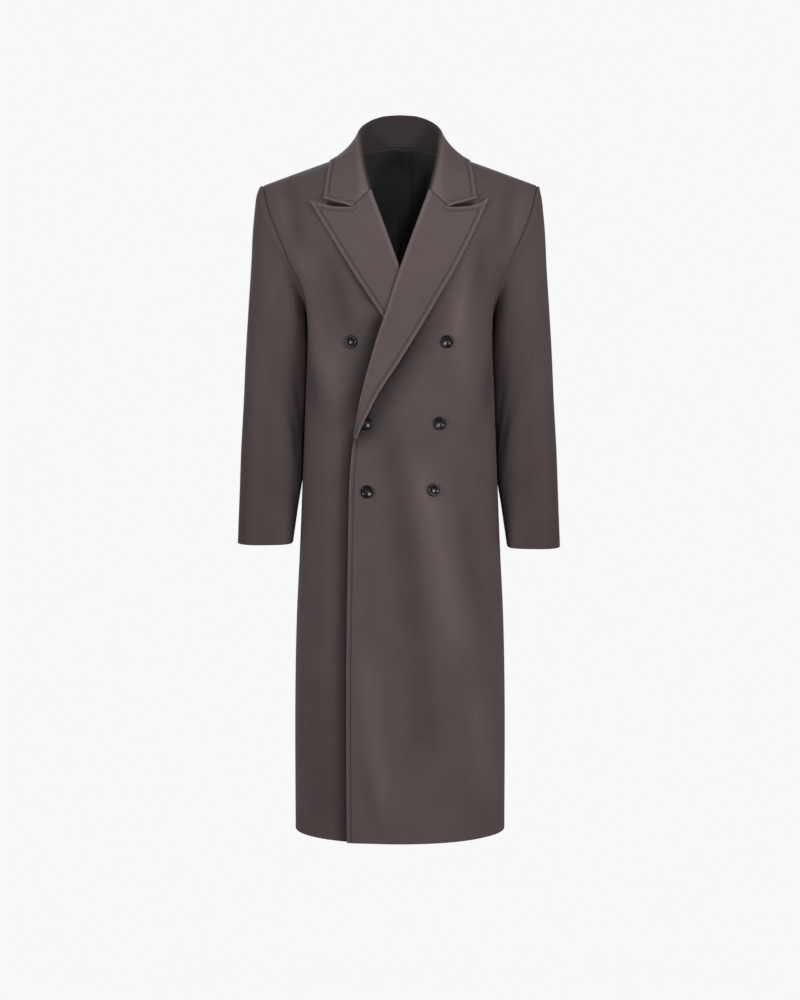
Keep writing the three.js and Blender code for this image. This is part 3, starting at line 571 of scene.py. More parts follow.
def wall(name, outer, inner, material, closed=False, marks=None):
    """A closed wall of cloth between two grids of points in mm. Marks are values kept at its points."""
    rows, columns = outer.shape[:2]
    quads = quads_of(rows, columns, closed).reshape(-1, 4)
    far = rows * columns
    faces = [quads, quads[:, ::-1] + far]
    ring = np.arange(rows * columns).reshape(rows, columns)
    borders = [ring[0], ring[-1][::-1]]
    if closed:
        borders = [np.append(line, line[0]) for line in borders]
    else:
        borders += [ring[::-1, 0], ring[:, -1]]
    for line in borders:
        faces.append(np.stack([line[1:], line[:-1], line[:-1] + far, line[1:] + far], -1))
    faces = np.concatenate(faces)
    points = np.concatenate([outer.reshape(-1, 3), inner.reshape(-1, 3)]) / 1000
    a, b, c, d = (points[faces[:, n]] for n in range(4))
    volume = (np.einsum("ij,ij->i", a, np.cross(b, c)) + np.einsum("ij,ij->i", a, np.cross(c, d))).sum()
    if volume < 0:
        faces = faces[:, ::-1]
    mesh = bpy.data.meshes.new(name)
    mesh.vertices.add(len(points))
    mesh.vertices.foreach_set("co", points.ravel())
    mesh.loops.add(faces.size)
    mesh.loops.foreach_set("vertex_index", faces.ravel())
    mesh.polygons.add(len(faces))
    mesh.polygons.foreach_set("loop_start", np.arange(0, faces.size, 4))
    mesh.polygons.foreach_set("use_smooth", np.ones(len(faces), bool))
    mesh.update(calc_edges=True)
    flat = np.stack([lengths(outer, 1), lengths(outer, 0)], -1).reshape(-1, 2) / 1000
    flat_map = mesh.uv_layers.new(name="cloth")
    flat_map.uv.foreach_set("vector", np.concatenate([flat, flat])[faces.ravel()].ravel())
    for mark, values in (marks or {}).items():
        attribute = mesh.attributes.new(mark, "FLOAT", "POINT")
        doubled = np.concatenate([values.ravel(), values.ravel() if mark == "hollow" else 0 * values.ravel()])
        attribute.data.foreach_set("value", doubled)
    mesh.materials.append(material)
    mesh.validate()
    piece = bpy.data.objects.new(name, mesh)
    scene.collection.objects.link(piece)
    pieces[name] = piece
    doubled = [np.linalg.norm(np.cross(p - a, q - a), axis=1).sum() for p, q in ((b, c), (c, d))]
    area = sum(doubled) / 2 / FACES_OF_CLOTH
    closing = np.linalg.norm(outer[:, 0] - outer[:, -1], axis=1).max() / 1000 if closed else 0
    print(f"{name}: {rows} x {columns} points, {area:.3f} square metres of cloth")
    return piece


# %% [markdown]
# ## The finishes
# A material is written as sums on the shader's sockets. A small class stands for one socket, so that
# Python's own operators add the Math nodes, and one method adds any other node.


# %% Write shader sums in Python
class Wire:
    """An output of a node, with Python's operators on it."""

    def __init__(self, finish, socket):
        self.finish = finish
        self.socket = socket

    def sum(self, operation, *values):
        return self.finish.node("ShaderNodeMath", {"operation": operation}, *values)["Value"]

    def __add__(self, other):
        return self.sum("ADD", self, other)

    def __sub__(self, other):
        return self.sum("SUBTRACT", self, other)

    def __rsub__(self, other):
        return self.sum("SUBTRACT", other, self)

    def __mul__(self, other):
        return self.sum("MULTIPLY", self, other)

    def __truediv__(self, other):
        return self.sum("DIVIDE", self, other)

    def __pow__(self, other):
        return self.sum("POWER", self, other)

    __radd__ = __add__
    __rmul__ = __mul__


class Finish:
    """A material, its shader, and a method that adds any node."""

    def __init__(self, name, **constants):
        self.material = bpy.data.materials.new(name)
        self.material.use_nodes = True
        self.tree = self.material.node_tree
        self.shader = self.tree.nodes["Principled BSDF"]
        for socket, value in constants.items():
            self.shader.inputs[socket.replace("_", " ")].default_value = value

    def node(self, kind, settings, *values, **named):
        """Adds a node, applies its settings, and sets or links its inputs by place or by name."""
        node = self.tree.nodes.new(kind)
        for setting, value in settings.items():
            if setting == "stops":
                for stop, (place, colour) in zip(node.color_ramp.elements, value):
                    stop.position = place
                    stop.color = (*colour, 1)
            else:
                setattr(node, setting, value)
        sockets = list(zip(node.inputs, values))
        sockets += [(node.inputs[name.replace("_", " ")], value) for name, value in named.items()]
        for socket, value in sockets:
            self.give(socket, value)
        return {output.name: Wire(self, output) for output in node.outputs if output.enabled}

    def give(self, socket, value):
        if isinstance(value, Wire):
            self.tree.links.new(value.socket, socket)
        else:
            socket.default_value = value

    def mixed(self, share, a, b):
        """A colour between two colours."""
        node = self.tree.nodes.new("ShaderNodeMix")
        node.data_type = "RGBA"
        for place, value in ((0, share), (6, a), (7, b)):
            if isinstance(value, tuple):
                value = (*value, 1)
            self.give(node.inputs[place], value)
        return Wire(self, node.outputs[2])

    def mark(self, name):
        return self.node("ShaderNodeAttribute", {"attribute_name": name})["Fac"]

    def noise(self, where, scale, detail=2.0, roughness=0.5):
        sizes = {"Scale": scale, "Detail": detail, "Roughness": roughness}
        return self.node("ShaderNodeTexNoise", {}, Vector=where, **sizes)["Fac"]

    def stretched(self, where, scale):
        return self.node("ShaderNodeMapping", {}, Vector=where, Scale=scale)["Vector"]

    def bump(self, height, distance, strength=1.0, normal=None):
        named = {"Height": height, "Distance": distance, "Strength": strength}
        if normal:
            named["Normal"] = normal
        return self.node("ShaderNodeBump", {}, **named)["Normal"]


print("shader sums are ready")

# %% [markdown]
# Melton is dyed in the wool, so its fibres differ a little in colour: a dark brown-grey with lighter and
# redder hairs. The surface is a short felted nap. A fine noise, stretched down the cloth, makes the hairs,
# a coarser one the slight unevenness of the felt, and a broad one the faint shift of tone over a panel.
# Two marks that each panel keeps at its points change it: the first is painted shade, in seams, stitched
# channels, the notch's slit, the collar's stand and beside edges that stand off the cloth; the second is
# painted light and shade, lighter on rims, lapels, folds and ridges, darker in troughs, sleeves and skirt.

# %% The melton
MELTON_DARK = linear(55, 48, 48)
MELTON_LIGHT = linear(97, 86, 86)
MELTON_RED = linear(79, 65, 66)
MELTON_SHADE = linear(30, 26, 26)

melton = Finish("melton", Roughness=0.95, Specular_IOR_Level=0.15, Sheen_Weight=0.02, Sheen_Roughness=0.6)
cloth_map = melton.node("ShaderNodeUVMap", {"uv_map": "cloth"})["UV"]
hairs = melton.noise(melton.stretched(cloth_map, (2600, 900, 1)), 1.0, 3.0, 0.6)
felt = melton.noise(cloth_map, 320.0, 3.0, 0.55)
tone = melton.noise(cloth_map, 9.0, 2.0, 0.5)
hollow = melton.mark("hollow")
brushed = melton.mark("brushed")
blotch = melton.noise(melton.stretched(cloth_map, (34, 16, 1)), 1.0, 3.0, 0.6)
# Painted light and shade: this mark makes the colour lighter on lit rims, lapels, folds and ridges, and
# darker in troughs, on the sleeves and down the skirt.
value = hairs * 0.3 + felt * 0.3 + tone * 0.2 + blotch * 0.22 + brushed * 0.4 - 0.16
colour = melton.mixed(value, MELTON_DARK, MELTON_LIGHT)
colour = melton.mixed(melton.noise(cloth_map, 900.0, 1.0) * 0.5 + tone * 0.4 - 0.2, colour, MELTON_RED)
# Painted shade: this mark darkens the colour in seams, channels, the slit, the stand and beside standing
# edges.
colour = melton.mixed(hollow * 0.6, colour, MELTON_SHADE)
melton.give(melton.shader.inputs["Base Color"], colour)
nap = melton.bump(hairs + felt * 1.4, 0.0006, 0.5)
melton.give(melton.shader.inputs["Normal"], nap)
print("melton:", len(melton.tree.nodes), "nodes")

# %% [markdown]
# The lining is a black satin twill. Its weave shows only as fine diagonal lines and a soft shine, so the
# lines go into the bump and the roughness, and the colour stays nearly even.

# %% The lining
LINING_BLACK = linear(43, 43, 46)
LINING_SHEEN = linear(67, 67, 71)

satin = Finish("lining_satin", Roughness=0.5, Specular_IOR_Level=0.35, Sheen_Weight=0.05)
satin_map = satin.node("ShaderNodeUVMap", {"uv_map": "cloth"})["UV"]
across = satin.node("ShaderNodeSeparateXYZ", {}, Vector=satin_map)
twill = across["X"].sum("SINE", (across["X"] + across["Y"] * 0.6) * (2 * math.pi / 0.0011))
slub = satin.noise(satin.stretched(satin_map, (900, 60, 1)), 1.0, 2.0)
satin_colour = satin.mixed(slub * 0.6 + twill * 0.12, LINING_BLACK, LINING_SHEEN)
satin.give(satin.shader.inputs["Base Color"], satin_colour)
satin.give(satin.shader.inputs["Roughness"], slub * 0.2 + 0.4)
satin.give(satin.shader.inputs["Normal"], satin.bump(twill * 0.5 + slub, 0.0002, 0.6))
print("lining:", len(satin.tree.nodes), "nodes")

# %% [markdown]
# The buttons are polished horn or a resin made to look like it: almost black, with faint brown clouds and
# fine turning marks. The thread is waxed and near the cloth's colour.

# %% Buttons and thread
horn = Finish("dark_horn", Roughness=0.2, Specular_IOR_Level=0.22)
place = horn.node("ShaderNodeTexCoord", {})["Object"]
clouds = horn.noise(place, 130.0, 4.0, 0.6)
horn_colour = horn.mixed(clouds * 1.6 - 0.5, linear(5, 5, 6), linear(17, 14, 14))
horn.give(horn.shader.inputs["Base Color"], horn_colour)
horn.give(horn.shader.inputs["Roughness"], clouds * 0.1 + 0.13)
horn.give(horn.shader.inputs["Normal"], horn.bump(horn.noise(place, 2400.0, 2.0), 0.00005, 0.4))


def thread_finish(name, dark, light):
    """A twisted thread: fine slanting lines along it, and a dull shine."""
    thread = Finish(name, Roughness=0.6, Specular_IOR_Level=0.3, Sheen_Weight=0.1)
    here = thread.node("ShaderNodeTexCoord", {})["Object"]
    twist = thread.noise(here, 2600.0, 2.0, 0.6)
    thread.give(thread.shader.inputs["Base Color"], thread.mixed(twist, dark, light))
    thread.give(thread.shader.inputs["Normal"], thread.bump(twist, 0.0001, 0.5))
    return thread


topstitch_thread = thread_finish("topstitch_thread", linear(58, 50, 50), linear(88, 78, 79))
button_thread = thread_finish("button_thread", linear(20, 18, 18), linear(40, 35, 36))
print("horn and two threads")

# %% [markdown]
# ## The lines that the fronts are drawn from
# A tailor chalks the lapels on the fronts before anything is cut. Each outline comes from a few stations
# from the gorge, where the lapel meets the collar, down to the break, where it ends in the front's edge.

# %% The lapels' outline
GORGE_START = (53, -71)
NOTCH = (84, -100)
COLLAR_POINT = (134, -87)
PEAKS = {LEFT: (155, -86), RIGHT: (158, -91)}
LAPELS = {
    LEFT: Table("along roll_z edge_x edge_z", [
        (0, -71, 155, -86),
        (0.15, -126, 130, -141),
        (0.3, -188, 100, -196),
        (0.45, -250, 65, -256),
        (0.6, -313, 31, -316),
        (0.72, -362, 2, -365),
        (0.86, -426, -37, -428),
        (1, -505, -73, -505),
    ]),
    RIGHT: Table("along roll_z edge_x edge_z", [
        (0, -71, 158, -91),
        (0.15, -126, 126, -143),
        (0.3, -188, 92, -196),
        (0.45, -250, 53, -256),
        (0.6, -313, 14, -316),
        (0.72, -362, -15, -365),
        (0.86, -426, -46, -428),
        (1, -505, -73, -505),
    ]),
}
GORGE_SHARE = 0.32
GORGE_GAP = SEAM * 0.75
ROLL_INNER_RADIUS = 1.0
ROLL_LEG = 2.0
ROLL_CENTRE = {"past": 0.45, "height": -0.5}
TOP_FADE = 2.5


def parting_line(side_of_seam, rows):
    """One side of the gorge seam and the free edge beyond it: share, x and z."""
    gap = side_of_seam * GORGE_GAP
    seam = [(0, GORGE_START[0] + gap, GORGE_START[1] + gap), (GORGE_SHARE, NOTCH[0] + gap, NOTCH[1] + gap)]
    return Table("share x z", seam), Table("share x z", seam[1:] + rows)


def on_parting(line, share):
    """A point of the gorge seam or of the free edge, by its share of the way to the outer edge."""
    seam, free = line
    low, high = seam.rows
    t = (share - low[0]) / (high[0] - low[0])
    in_seam = share <= GORGE_SHARE
    x = np.where(in_seam, mix(low[1], high[1], t), free.read("x", share))
    z = np.where(in_seam, mix(low[2], high[2], t), free.read("z", share))
    return x, z


LAPEL_TOPS = {
    side: parting_line(-1, [(0.55, 110, -101.5), (0.78, 134, -97.5), (1, *peak)])
    for side, peak in PEAKS.items()
}
COLLAR_END = parting_line(1, [(0.6, 106, -94.5), (0.85, 125, -89.5), (1, *COLLAR_POINT)])
print("notch at", on_parting(COLLAR_END, np.array([GORGE_SHARE, 1.0])))


# %% [markdown]
# ## The fronts
# Each front runs from its edge, round the side of the body to the side seam, and up to the shoulder and
# the armhole. Its edge is bagged out and topstitched all the way up to where the lapel rolls over. The
# panel could be simulated as cloth, but heavy melton that is already on a body barely moves, so the form
# and its folds are placed directly.

# %% Make the fronts
SKIRT_ROWS = 11
CHEST_ROWS = 12
CHEST_SPACING = 1.25
ROWS = SKIRT_ROWS + CHEST_ROWS
BREAK_LEVEL = -505


def row_level(row, top=0.0):
    """The level of a row of the solids' panels, which may be a fraction."""
    row = np.asarray(row, float)
    over_top = np.degrees(np.arcsin(np.clip(1 - top / ARMPIT, 0, 1)))
    share = np.maximum(row - SKIRT_ROWS, 0) / CHEST_ROWS
    chest = ARMPIT * (1 - np.sin(np.radians(share**CHEST_SPACING * over_top)))
    return np.where(row <= SKIRT_ROWS, mix(HEM, ARMPIT, row / SKIRT_ROWS), chest)


def panel_levels(skirt, chest):
    """The levels of a fine panel's rows: close at the hem, then even, then closer up the chest."""
    hem = HEM + SEAM_STEPS
    rise = np.linspace(0, 1, skirt + 1)[1:]
    lower = mix(hem[-1], ARMPIT, rise)
    upper = row_level(np.linspace(SKIRT_ROWS, ROWS, chest + 1)[1:])
    return np.concatenate([hem, lower, upper])


NOTCH_SLIT = np.array([(87, 0, -98.5), (124, 0, -95)])
# The notch's slit is a real dip in the front, with painted shadow in it as well.
NOTCH_HOLLOW = {"reach": 5.0, "depth": 9, "shade": 2.2}
# Painted light on crease ridges and painted shade in troughs, per mm of rise, and painted shade that darkens
# the skirt towards the hem.
PAINTED_LIGHT_PER_MM = 0.135
PAINTED_SKIRT_SHADE = {"darker": 0.22, "from": -500, "to": -1100}
# Painted shade in seams and stitched channels.
SEAM_SHADE = {"strength": 0.4, "width": 1.2}
STITCH_SHADE = {"strength": 0.6, "width": 1.3}
# Painted highlight along the rims of turned edges.
PAINTED_RIM_LIGHT = (4.2, 2.2)


def seam_shade(distance):
    """The shade that a plain seam holds."""
    return SEAM_SHADE["strength"] * bell(distance, 0, SEAM_SHADE["width"])


def stitch_shade(distance):
    """The shade that a stitched channel holds."""
    return STITCH_SHADE["strength"] * bell(distance, STITCH_LINE, STITCH_SHADE["width"])


def painted_rim_light(distance):
    """How much painted highlight lies along an edge, where light catches the rounded rim."""
    return smooth(*PAINTED_RIM_LIGHT, distance)


def painted_crease_and_skirt_light(face, points):
    """Painted light on a ridge and painted shade in a trough, and painted shade that darkens the skirt
    towards the hem.
    """
    x, z = points[..., 0], points[..., 2]
    skirt = PAINTED_SKIRT_SHADE["darker"] * smooth(PAINTED_SKIRT_SHADE["from"], PAINTED_SKIRT_SHADE["to"], z)
    return PAINTED_LIGHT_PER_MM * crease_rise(face, x, z) - skirt


# Painted shadow beside the edges that stand off the fronts: the closed edge, the roll and the lapels' outer
# edges.
SHADES = {
    "below_overlap": {"strength": 1.5, "reach": 19},
    "below_roll": {"strength": 1.5, "reach": 30},
    "below_left_lapel": {"strength": 1.4, "reach": 27},
    "below_right_lapel": {"strength": 0.9, "reach": 10},
}


def fading_shade(kind, distance):
    """Shade on the side of a line where the distance is more than nothing."""
    return SHADES[kind]["strength"] * bell(np.maximum(distance, 0), 0, SHADES[kind]["reach"])


def lapel_line(side, z):
    """The x of a lapel's outer edge at a height, on the wearer's left side."""
    rows = LAPELS[side].rows[::-1]
    return np.interp(z, rows[:, 3], rows[:, 2])


SLANT = 0.8


def edge_shades(side, points):
    """The shade that lies on a front beside the edges that stand off it. A lapel's edge slants."""
    x, z = points[..., 0], points[..., 2]
    if side == LEFT:
        lower = smooth(-190, -370, z) * smooth(-535, -490, z)
        return lower * fading_shade("below_left_lapel", SLANT * (x - lapel_line(LEFT, z)))
    from_edge = FRONT_EDGE.read("x", z) - x
    shade = fading_shade("below_overlap", from_edge) * smooth(-420, -520, z)
    rolling = smooth(-250, -300, z) * smooth(-520, -440, z)
    shade = np.maximum(shade, fading_shade("below_roll", from_edge) * rolling)
    beside = SLANT * (-lapel_line(RIGHT, z) - x)
    lapel_shade = fading_shade("below_right_lapel", beside) * smooth(-130, -280, z) * smooth(-345, -300, z)
    return np.maximum(shade, lapel_shade)


FRONT_COUNTS = {"skirt": 150, "chest": 90, "rough": 160, "across": 62}


def make_front(side, name):
    levels = panel_levels(FRONT_COUNTS["skirt"], FRONT_COUNTS["chest"])
    edge = turn_of(edge_at(levels), levels)
    end = ARMHOLE.read("front", levels)
    rough = mix(edge[:, None], end[:, None], np.linspace(0, 1, FRONT_COUNTS["rough"]))
    rough_form = torso(FRONT, side * rough, levels[:, None])
    turns = respaced(rough_form, rough, EDGE_STEPS, SEAM_STEPS, FRONT_COUNTS["across"])
    where = side * turns, levels[:, None]
    form = front_point(side, *where)
    form[..., 1] = np.minimum(form[..., 1], -CLOSED)
    below = levels < BREAK_LEVEL
    edge_distance = line_distance(form, form[below, 0])
    fade = smooth(BREAK_LEVEL + 40, BREAK_LEVEL - 25, levels)[:, None]
    seam_distance = line_distance(form, np.concatenate([form[:, -1], form[-1, ::-1]]))
    in_slit = bell(line_distance(form * (side, 0, 1), NOTCH_SLIT), 0, NOTCH_HOLLOW["reach"])
    relief = stitched_edge(edge_distance) * fade + sewn_seam(seam_distance) - NOTCH_HOLLOW["depth"] * in_slit
    turned = turned_edge(border_distance(form), CLOTH)
    outer = front_point(side, *where, relief - turned)
    inner = front_point(side, *where, turned - CLOTH)
    for grid in (outer, inner):
        grid[..., 1] = np.minimum(grid[..., 1], -CLOSED)
        grid[grid[:, -1, 1] > -SIDE_REACH, -1, 1] = -CLOSED
    # Painted shade in the channel, the seams, the notch's slit and beside the standing edges; painted
    # highlight on the rim, and painted light and shade on the creases and skirt.
    hollow = stitch_shade(edge_distance) * fade + seam_shade(seam_distance)
    hollow = hollow + NOTCH_HOLLOW["shade"] * in_slit + edge_shades(side, form)
    marks = {"hollow": hollow, "brushed": painted_rim_light(edge_distance) * fade + painted_crease_and_skirt_light(FRONT, form)}
    stitched_rows = slice(6, int(below.sum()) - 3)
    keep_edge(name, form, facing_front(grid_normals(form)), form[below, 0], lambda grid: grid[stitched_rows])
    return wall(name, outer, inner, melton.material, marks=marks)


make_front(RIGHT, "right_front")
make_front(LEFT, "left_front")

# %% [markdown]
# ## The back and its lining
# The back is one broad panel, scooped at the top for the neck. Inside it hangs the lining, which shows
# through the neck. It has a pleat down its middle, two fingers deep, so that the satin can give when the
# arms reach forward. The pleat is a fold of the same cloth, so its edge is modelled as a step.

# %% Make the back and the lining
NECK_HALF_WIDTH = 72
BACK_NECK_DROP = 6
LINING_GAP = 1.2
LINING_SHORTER = 25
LINING_TRIM = 1
PLEAT = {"from": -1.0, "to": 19.5, "depth": 2.4, "opens": 0.8}
LINING_SWELLS = ((40, 9, 0.8), (-34, 12, 1.0))
BACK_GRID = {"rows": 221, "columns": 241, "measured_row": 60}


def back_top(x):
    share = np.clip(np.abs(x) / NECK_HALF_WIDTH, 0, 1)
    return -BACK_NECK_DROP * np.sqrt(np.maximum(0, 1 - share**2.6))


def back_point(turn, level, height=0.0):
    return torso(BACK, turn, level) + body_normal(BACK, turn, level) * np.asarray(height)[..., None]


def back_grid(trim, shorter):
    """The turns and levels of the back's points, on an even grid."""
    rows = np.linspace(0, ROWS, BACK_GRID["rows"])
    across = np.linspace(-1, 1, BACK_GRID["columns"])
    top_turns = across * ARMHOLE.read("back", 0.0)
    tops = back_top(SECTIONS.read("half_width", 0.0) * np.sin(np.radians(top_turns)))
    levels = np.maximum(row_level(rows[:, None], tops), HEM + shorter)
    ends = ARMHOLE.read("back", levels)
    return np.clip(across * ends, trim - ends, ends - trim), levels


def resample(grid_rows, grid_columns, values):
    """Values of a grid at fractional rows and columns."""
    i = np.clip(np.floor(grid_rows).astype(int), 0, values.shape[0] - 2)
    t = (grid_rows - i)[:, None]
    by_rows = values[i] * (1 - t) + values[i + 1] * t
    j = np.clip(np.floor(grid_columns).astype(int), 0, values.shape[1] - 2)
    s = grid_columns - j
    return by_rows[:, j] * (1 - s) + by_rows[:, j + 1] * s


def back_places(rows_between, columns_between, shorter=0.0, trim=0.0):
    """Turns and levels of the back, with rows and columns crowded towards its borders."""
    turns, levels = back_grid(trim, shorter)
    form = back_point(turns, levels)
    down = lengths(form, 0)[:, BACK_GRID["columns"] // 2]
    across = lengths(form, 1)[BACK_GRID["measured_row"]]
    start = np.searchsorted(down, 0.01) - 1
    wanted_rows = spaced(down[-1] - down[start], SEAM_STEPS, SEAM_STEPS, rows_between)[0] + down[start]
    wanted_columns = spaced(across[-1], SEAM_STEPS, SEAM_STEPS, columns_between)[0]
    i = np.interp(wanted_rows, down[start:], np.arange(start, len(down)))
    j = np.interp(wanted_columns, across, np.arange(len(across)))
    return resample(i, j, turns), resample(i, j, levels)


def make_back():
    turns, levels = back_places(190, 110)
    form = back_point(turns, levels)
    seams = np.concatenate([form[:, 0], form[-1], form[::-1, -1]])
    seam_distance = line_distance(form, seams)
    turned = turned_edge(border_distance(form), CLOTH)
    outer = back_point(turns, levels, sewn_seam(seam_distance) - turned)
    inner = back_point(turns, levels, turned - CLOTH)
    for grid in (outer, inner):
        grid[..., 1] = np.maximum(grid[..., 1], CLOSED)
        for column in (0, -1):
            grid[grid[:, column, 1] < SIDE_REACH, column, 1] = CLOSED
    # Painted shade in the seams, and painted light and shade on the creases and skirt.
    marks = {"hollow": seam_shade(seam_distance), "brushed": painted_crease_and_skirt_light(BACK, form)}
    return wall("back_panel", outer, inner, melton.material, marks=marks)


def make_lining():
    turns, levels = back_places(120, 150, LINING_SHORTER, LINING_TRIM)
    x = torso(BACK, turns, levels)[..., 0]
    first, last = PLEAT["from"], PLEAT["to"]
    step = smooth(first - 0.8, first + 0.2, x) * smooth(last + 0.8, last - 0.2, x)
    swell = sum(height * bell(x, middle, width) for middle, width, height in LINING_SWELLS)
    open_up = smooth(0, -420, levels)
    relief = PLEAT["depth"] * step * (1 + PLEAT["opens"] * open_up) + swell * open_up
    gap = CLOTH + LINING_GAP
    turned = turned_edge(border_distance(torso(BACK, turns, levels)), LINING_CLOTH)
    outer = back_point(turns, levels, -gap - relief - turned)
    inner = back_point(turns, levels, -gap - relief - LINING_CLOTH + turned)
    for grid in (outer, inner):
        grid[..., 1] = np.maximum(grid[..., 1], CLOSED)
    return wall("back_lining", outer, inner, satin.material)


make_back()
make_lining()

# %% [markdown]
# ## The lapels
# A lapel is the facing of the front, turned back over it. It rolls softly round the front's edge at the
# inside, and its outer edge is bagged out and topstitched.

# %% Points of a lapel
BUTTON_UNDER = {"x": -58, "z": -478, "reach_x": 18, "reach_z": 27, "rise": 5.4}


def roll(radius, turned):
    """The section across the rolled edge: how far past the edge and how high, 0 inside to 1 on top."""
    angle = np.radians(180 - 90 * np.clip((turned - 0.2) / 0.8, 0, 1))
    past = ROLL_CENTRE["past"] + radius * np.cos(angle)
    height = ROLL_CENTRE["height"] + radius * np.sin(angle)
    return past, height - ROLL_LEG * np.clip(1 - turned / 0.2, 0, 1)


def over_button(side, x, z):
    """How much higher the lapel's underside lies where it covers a button."""
    if side == RIGHT:
        return 0 * x
    away_x, away_z = ((at - BUTTON_UNDER[n]) / BUTTON_UNDER["reach_" + n] for at, n in ((x, "x"), (z, "z")))
    return BUTTON_UNDER["rise"] * np.exp(-(np.hypot(away_x, away_z) ** 4))


def lapel_place(side, along, share):
    """The x and z of a lapel's point on the front, on the wearer's left side."""
    table = LAPELS[side]
    line = LAPEL_TOPS[side]
    roll_z = table.read("roll_z", along)
    edge_x, edge_z = table.read("edge_x", along), table.read("edge_z", along)
    roll_x = FRONT_EDGE.read("x", roll_z)
    start_x, start_z = on_parting(line, np.array(0.0))
    peak_x, peak_z = PEAKS[side]
    shaped_x, shaped_z = on_parting(line, share)
    bend = (1 - along) ** TOP_FADE
    x = mix(roll_x, edge_x, share) + (shaped_x - mix(start_x, peak_x, share)) * bend
    z = mix(roll_z, edge_z, share) + (shaped_z - mix(start_z, peak_z, share)) * bend
    return x, z


def lapel_width(side, along):
    table = LAPELS[side]
    roll_z = table.read("roll_z", along)
    roll_x = FRONT_EDGE.read("x", roll_z)
    return np.hypot(table.read("edge_x", along) - roll_x, table.read("edge_z", along) - roll_z)


print("lapel widths", [round(float(lapel_width(side, 0.0))) for side in (LEFT, RIGHT)])

# %% [markdown]
# Towards the break the lapel narrows to the width of the front's own stitched rim. Its cloth thins out
# over the last few centimetres, so that the one runs into the other without a step.

# %% Make the lapels
ROLL_TURNS = np.linspace(0, 1, 14)
# Painted light on a lapel's face: more at the top, less from halfway down.
PAINTED_LAPEL_LIGHT = (0.55, 0.3)
LAPEL_ROWS_BETWEEN = 190
LAPEL_COUNTS = {"seam": 15, "between": 22}
THIN_END = {"cloth": 0.4, "lift": 0.02}
STAND_OFF = {"edge": 4.0, "notch": 3.6, "ends": {LEFT: (0.95, 0.7), RIGHT: (0.58, 0.42)}}
END_FADE = (0.8, 0.99)


def make_lapel(side, name):
    outline = xyz(*lapel_place(side, np.linspace(0, 1, 200), np.ones(200)), 0)
    length = float(lengths(outline[None], 1)[0, -1])
    along = (spaced(length, EDGE_STEPS, SEAM_STEPS, LAPEL_ROWS_BETWEEN)[0] / length)[:, None]
    width = lapel_width(side, along)
    fine = np.minimum(1, 0.5 * width / EDGE_STEPS[-1]) * EDGE_STEPS / width
    inside = 1 - fine[:, -1:]
    notch = GORGE_SHARE * inside / inside[0]
    shares = np.concatenate([
        mix(0.012, notch, np.linspace(0, 1, LAPEL_COUNTS["seam"]) ** 1.2)[:, :-1],
        mix(notch, inside, np.linspace(0, 1, LAPEL_COUNTS["between"])),
        1 - fine[:, ::-1][:, 1:],
    ], axis=1)
    faded = smooth(*END_FADE, along)
    covered = STAND_OFF["ends"][side]
    cloth = mix(LAPEL_CLOTH, THIN_END["cloth"], faded)
    lift = mix(1.0, THIN_END["lift"], faded)

    def face(thickness, relief=None):
        past, height = roll(ROLL_INNER_RADIUS + thickness, ROLL_TURNS[None, :-1])
        share = np.concatenate([past / width, shares], axis=1)
        x, z = lapel_place(side, along, share)
        springs = smooth(0.2, 1, share) * smooth(0.1, 0.4, along) * smooth(*covered, along)
        at_notch = smooth(GORGE_SHARE, 0.6, share) * smooth(0.12, 0, along)
        stands_off = STAND_OFF["edge"] * springs + STAND_OFF["notch"] * at_notch
        flat = LAPEL_LIFT * lift + over_button(side, x, z) + stands_off + thickness
        rolled_columns = height.shape[1]
        rolled_part = np.minimum(height, flat[:, :rolled_columns])
        high = np.concatenate([rolled_part, flat[:, rolled_columns:]], axis=1)
        if relief is not None:
            high = high + relief
        return front_at(side, side * x, z, high), x, z

    form, x, z = face(cloth)
    notch_column = len(ROLL_TURNS) - 1 + LAPEL_COUNTS["seam"] - 1
    finished = np.concatenate([form[0, notch_column:], form[1:, -1]])
    stitched = line_distance(form, finished)
    gorge = line_distance(form, form[0, len(ROLL_TURNS) - 1 : notch_column + 1])
    relief = stitched_edge(stitched) * (1 - 0.5 * faded) + sewn_seam(gorge) * 0.8
    turned = turned_edge(border_distance(form), LAPEL_CLOTH) * (cloth / LAPEL_CLOTH)
    outer = face(cloth, relief - turned)[0]
    inner = face(0 * cloth, turned)[0]
    # Painted highlight along the rolled edge and the rims, and painted light over the lapel's face, fading
    # out at the break.
    rolled = np.zeros_like(stitched)
    rolled[:, : len(ROLL_TURNS) + 1] = 1
    rolled = rolled * smooth(0.97, 0.9, along)
    painted_lapel_light = mix(*PAINTED_LAPEL_LIGHT, smooth(0, 0.5, along)) * (1 - faded)
    marks = {
        "hollow": stitch_shade(stitched) + seam_shade(gorge),
        "brushed": painted_lapel_light + np.maximum(painted_rim_light(stitched), rolled),
    }
    keep_edge(
        name, form, facing_front(grid_normals(form)), finished,
        lambda grid: grid.swapaxes(0, 1)[notch_column + 1 :], lambda grid: grid[:-8, ::-1],
    )
    return wall(name, outer, inner, melton.material, marks=marks)


make_lapel(RIGHT, "right_lapel")
make_lapel(LEFT, "left_lapel")

# %% [markdown]
# ## The collar
# The collar is one folded piece: its stand rises inside the neck, turns over at the top and falls outside
# as the leaf. It is made in sections from the centre back round to the gorge, where its end lies flat on
# the front beside the lapel.

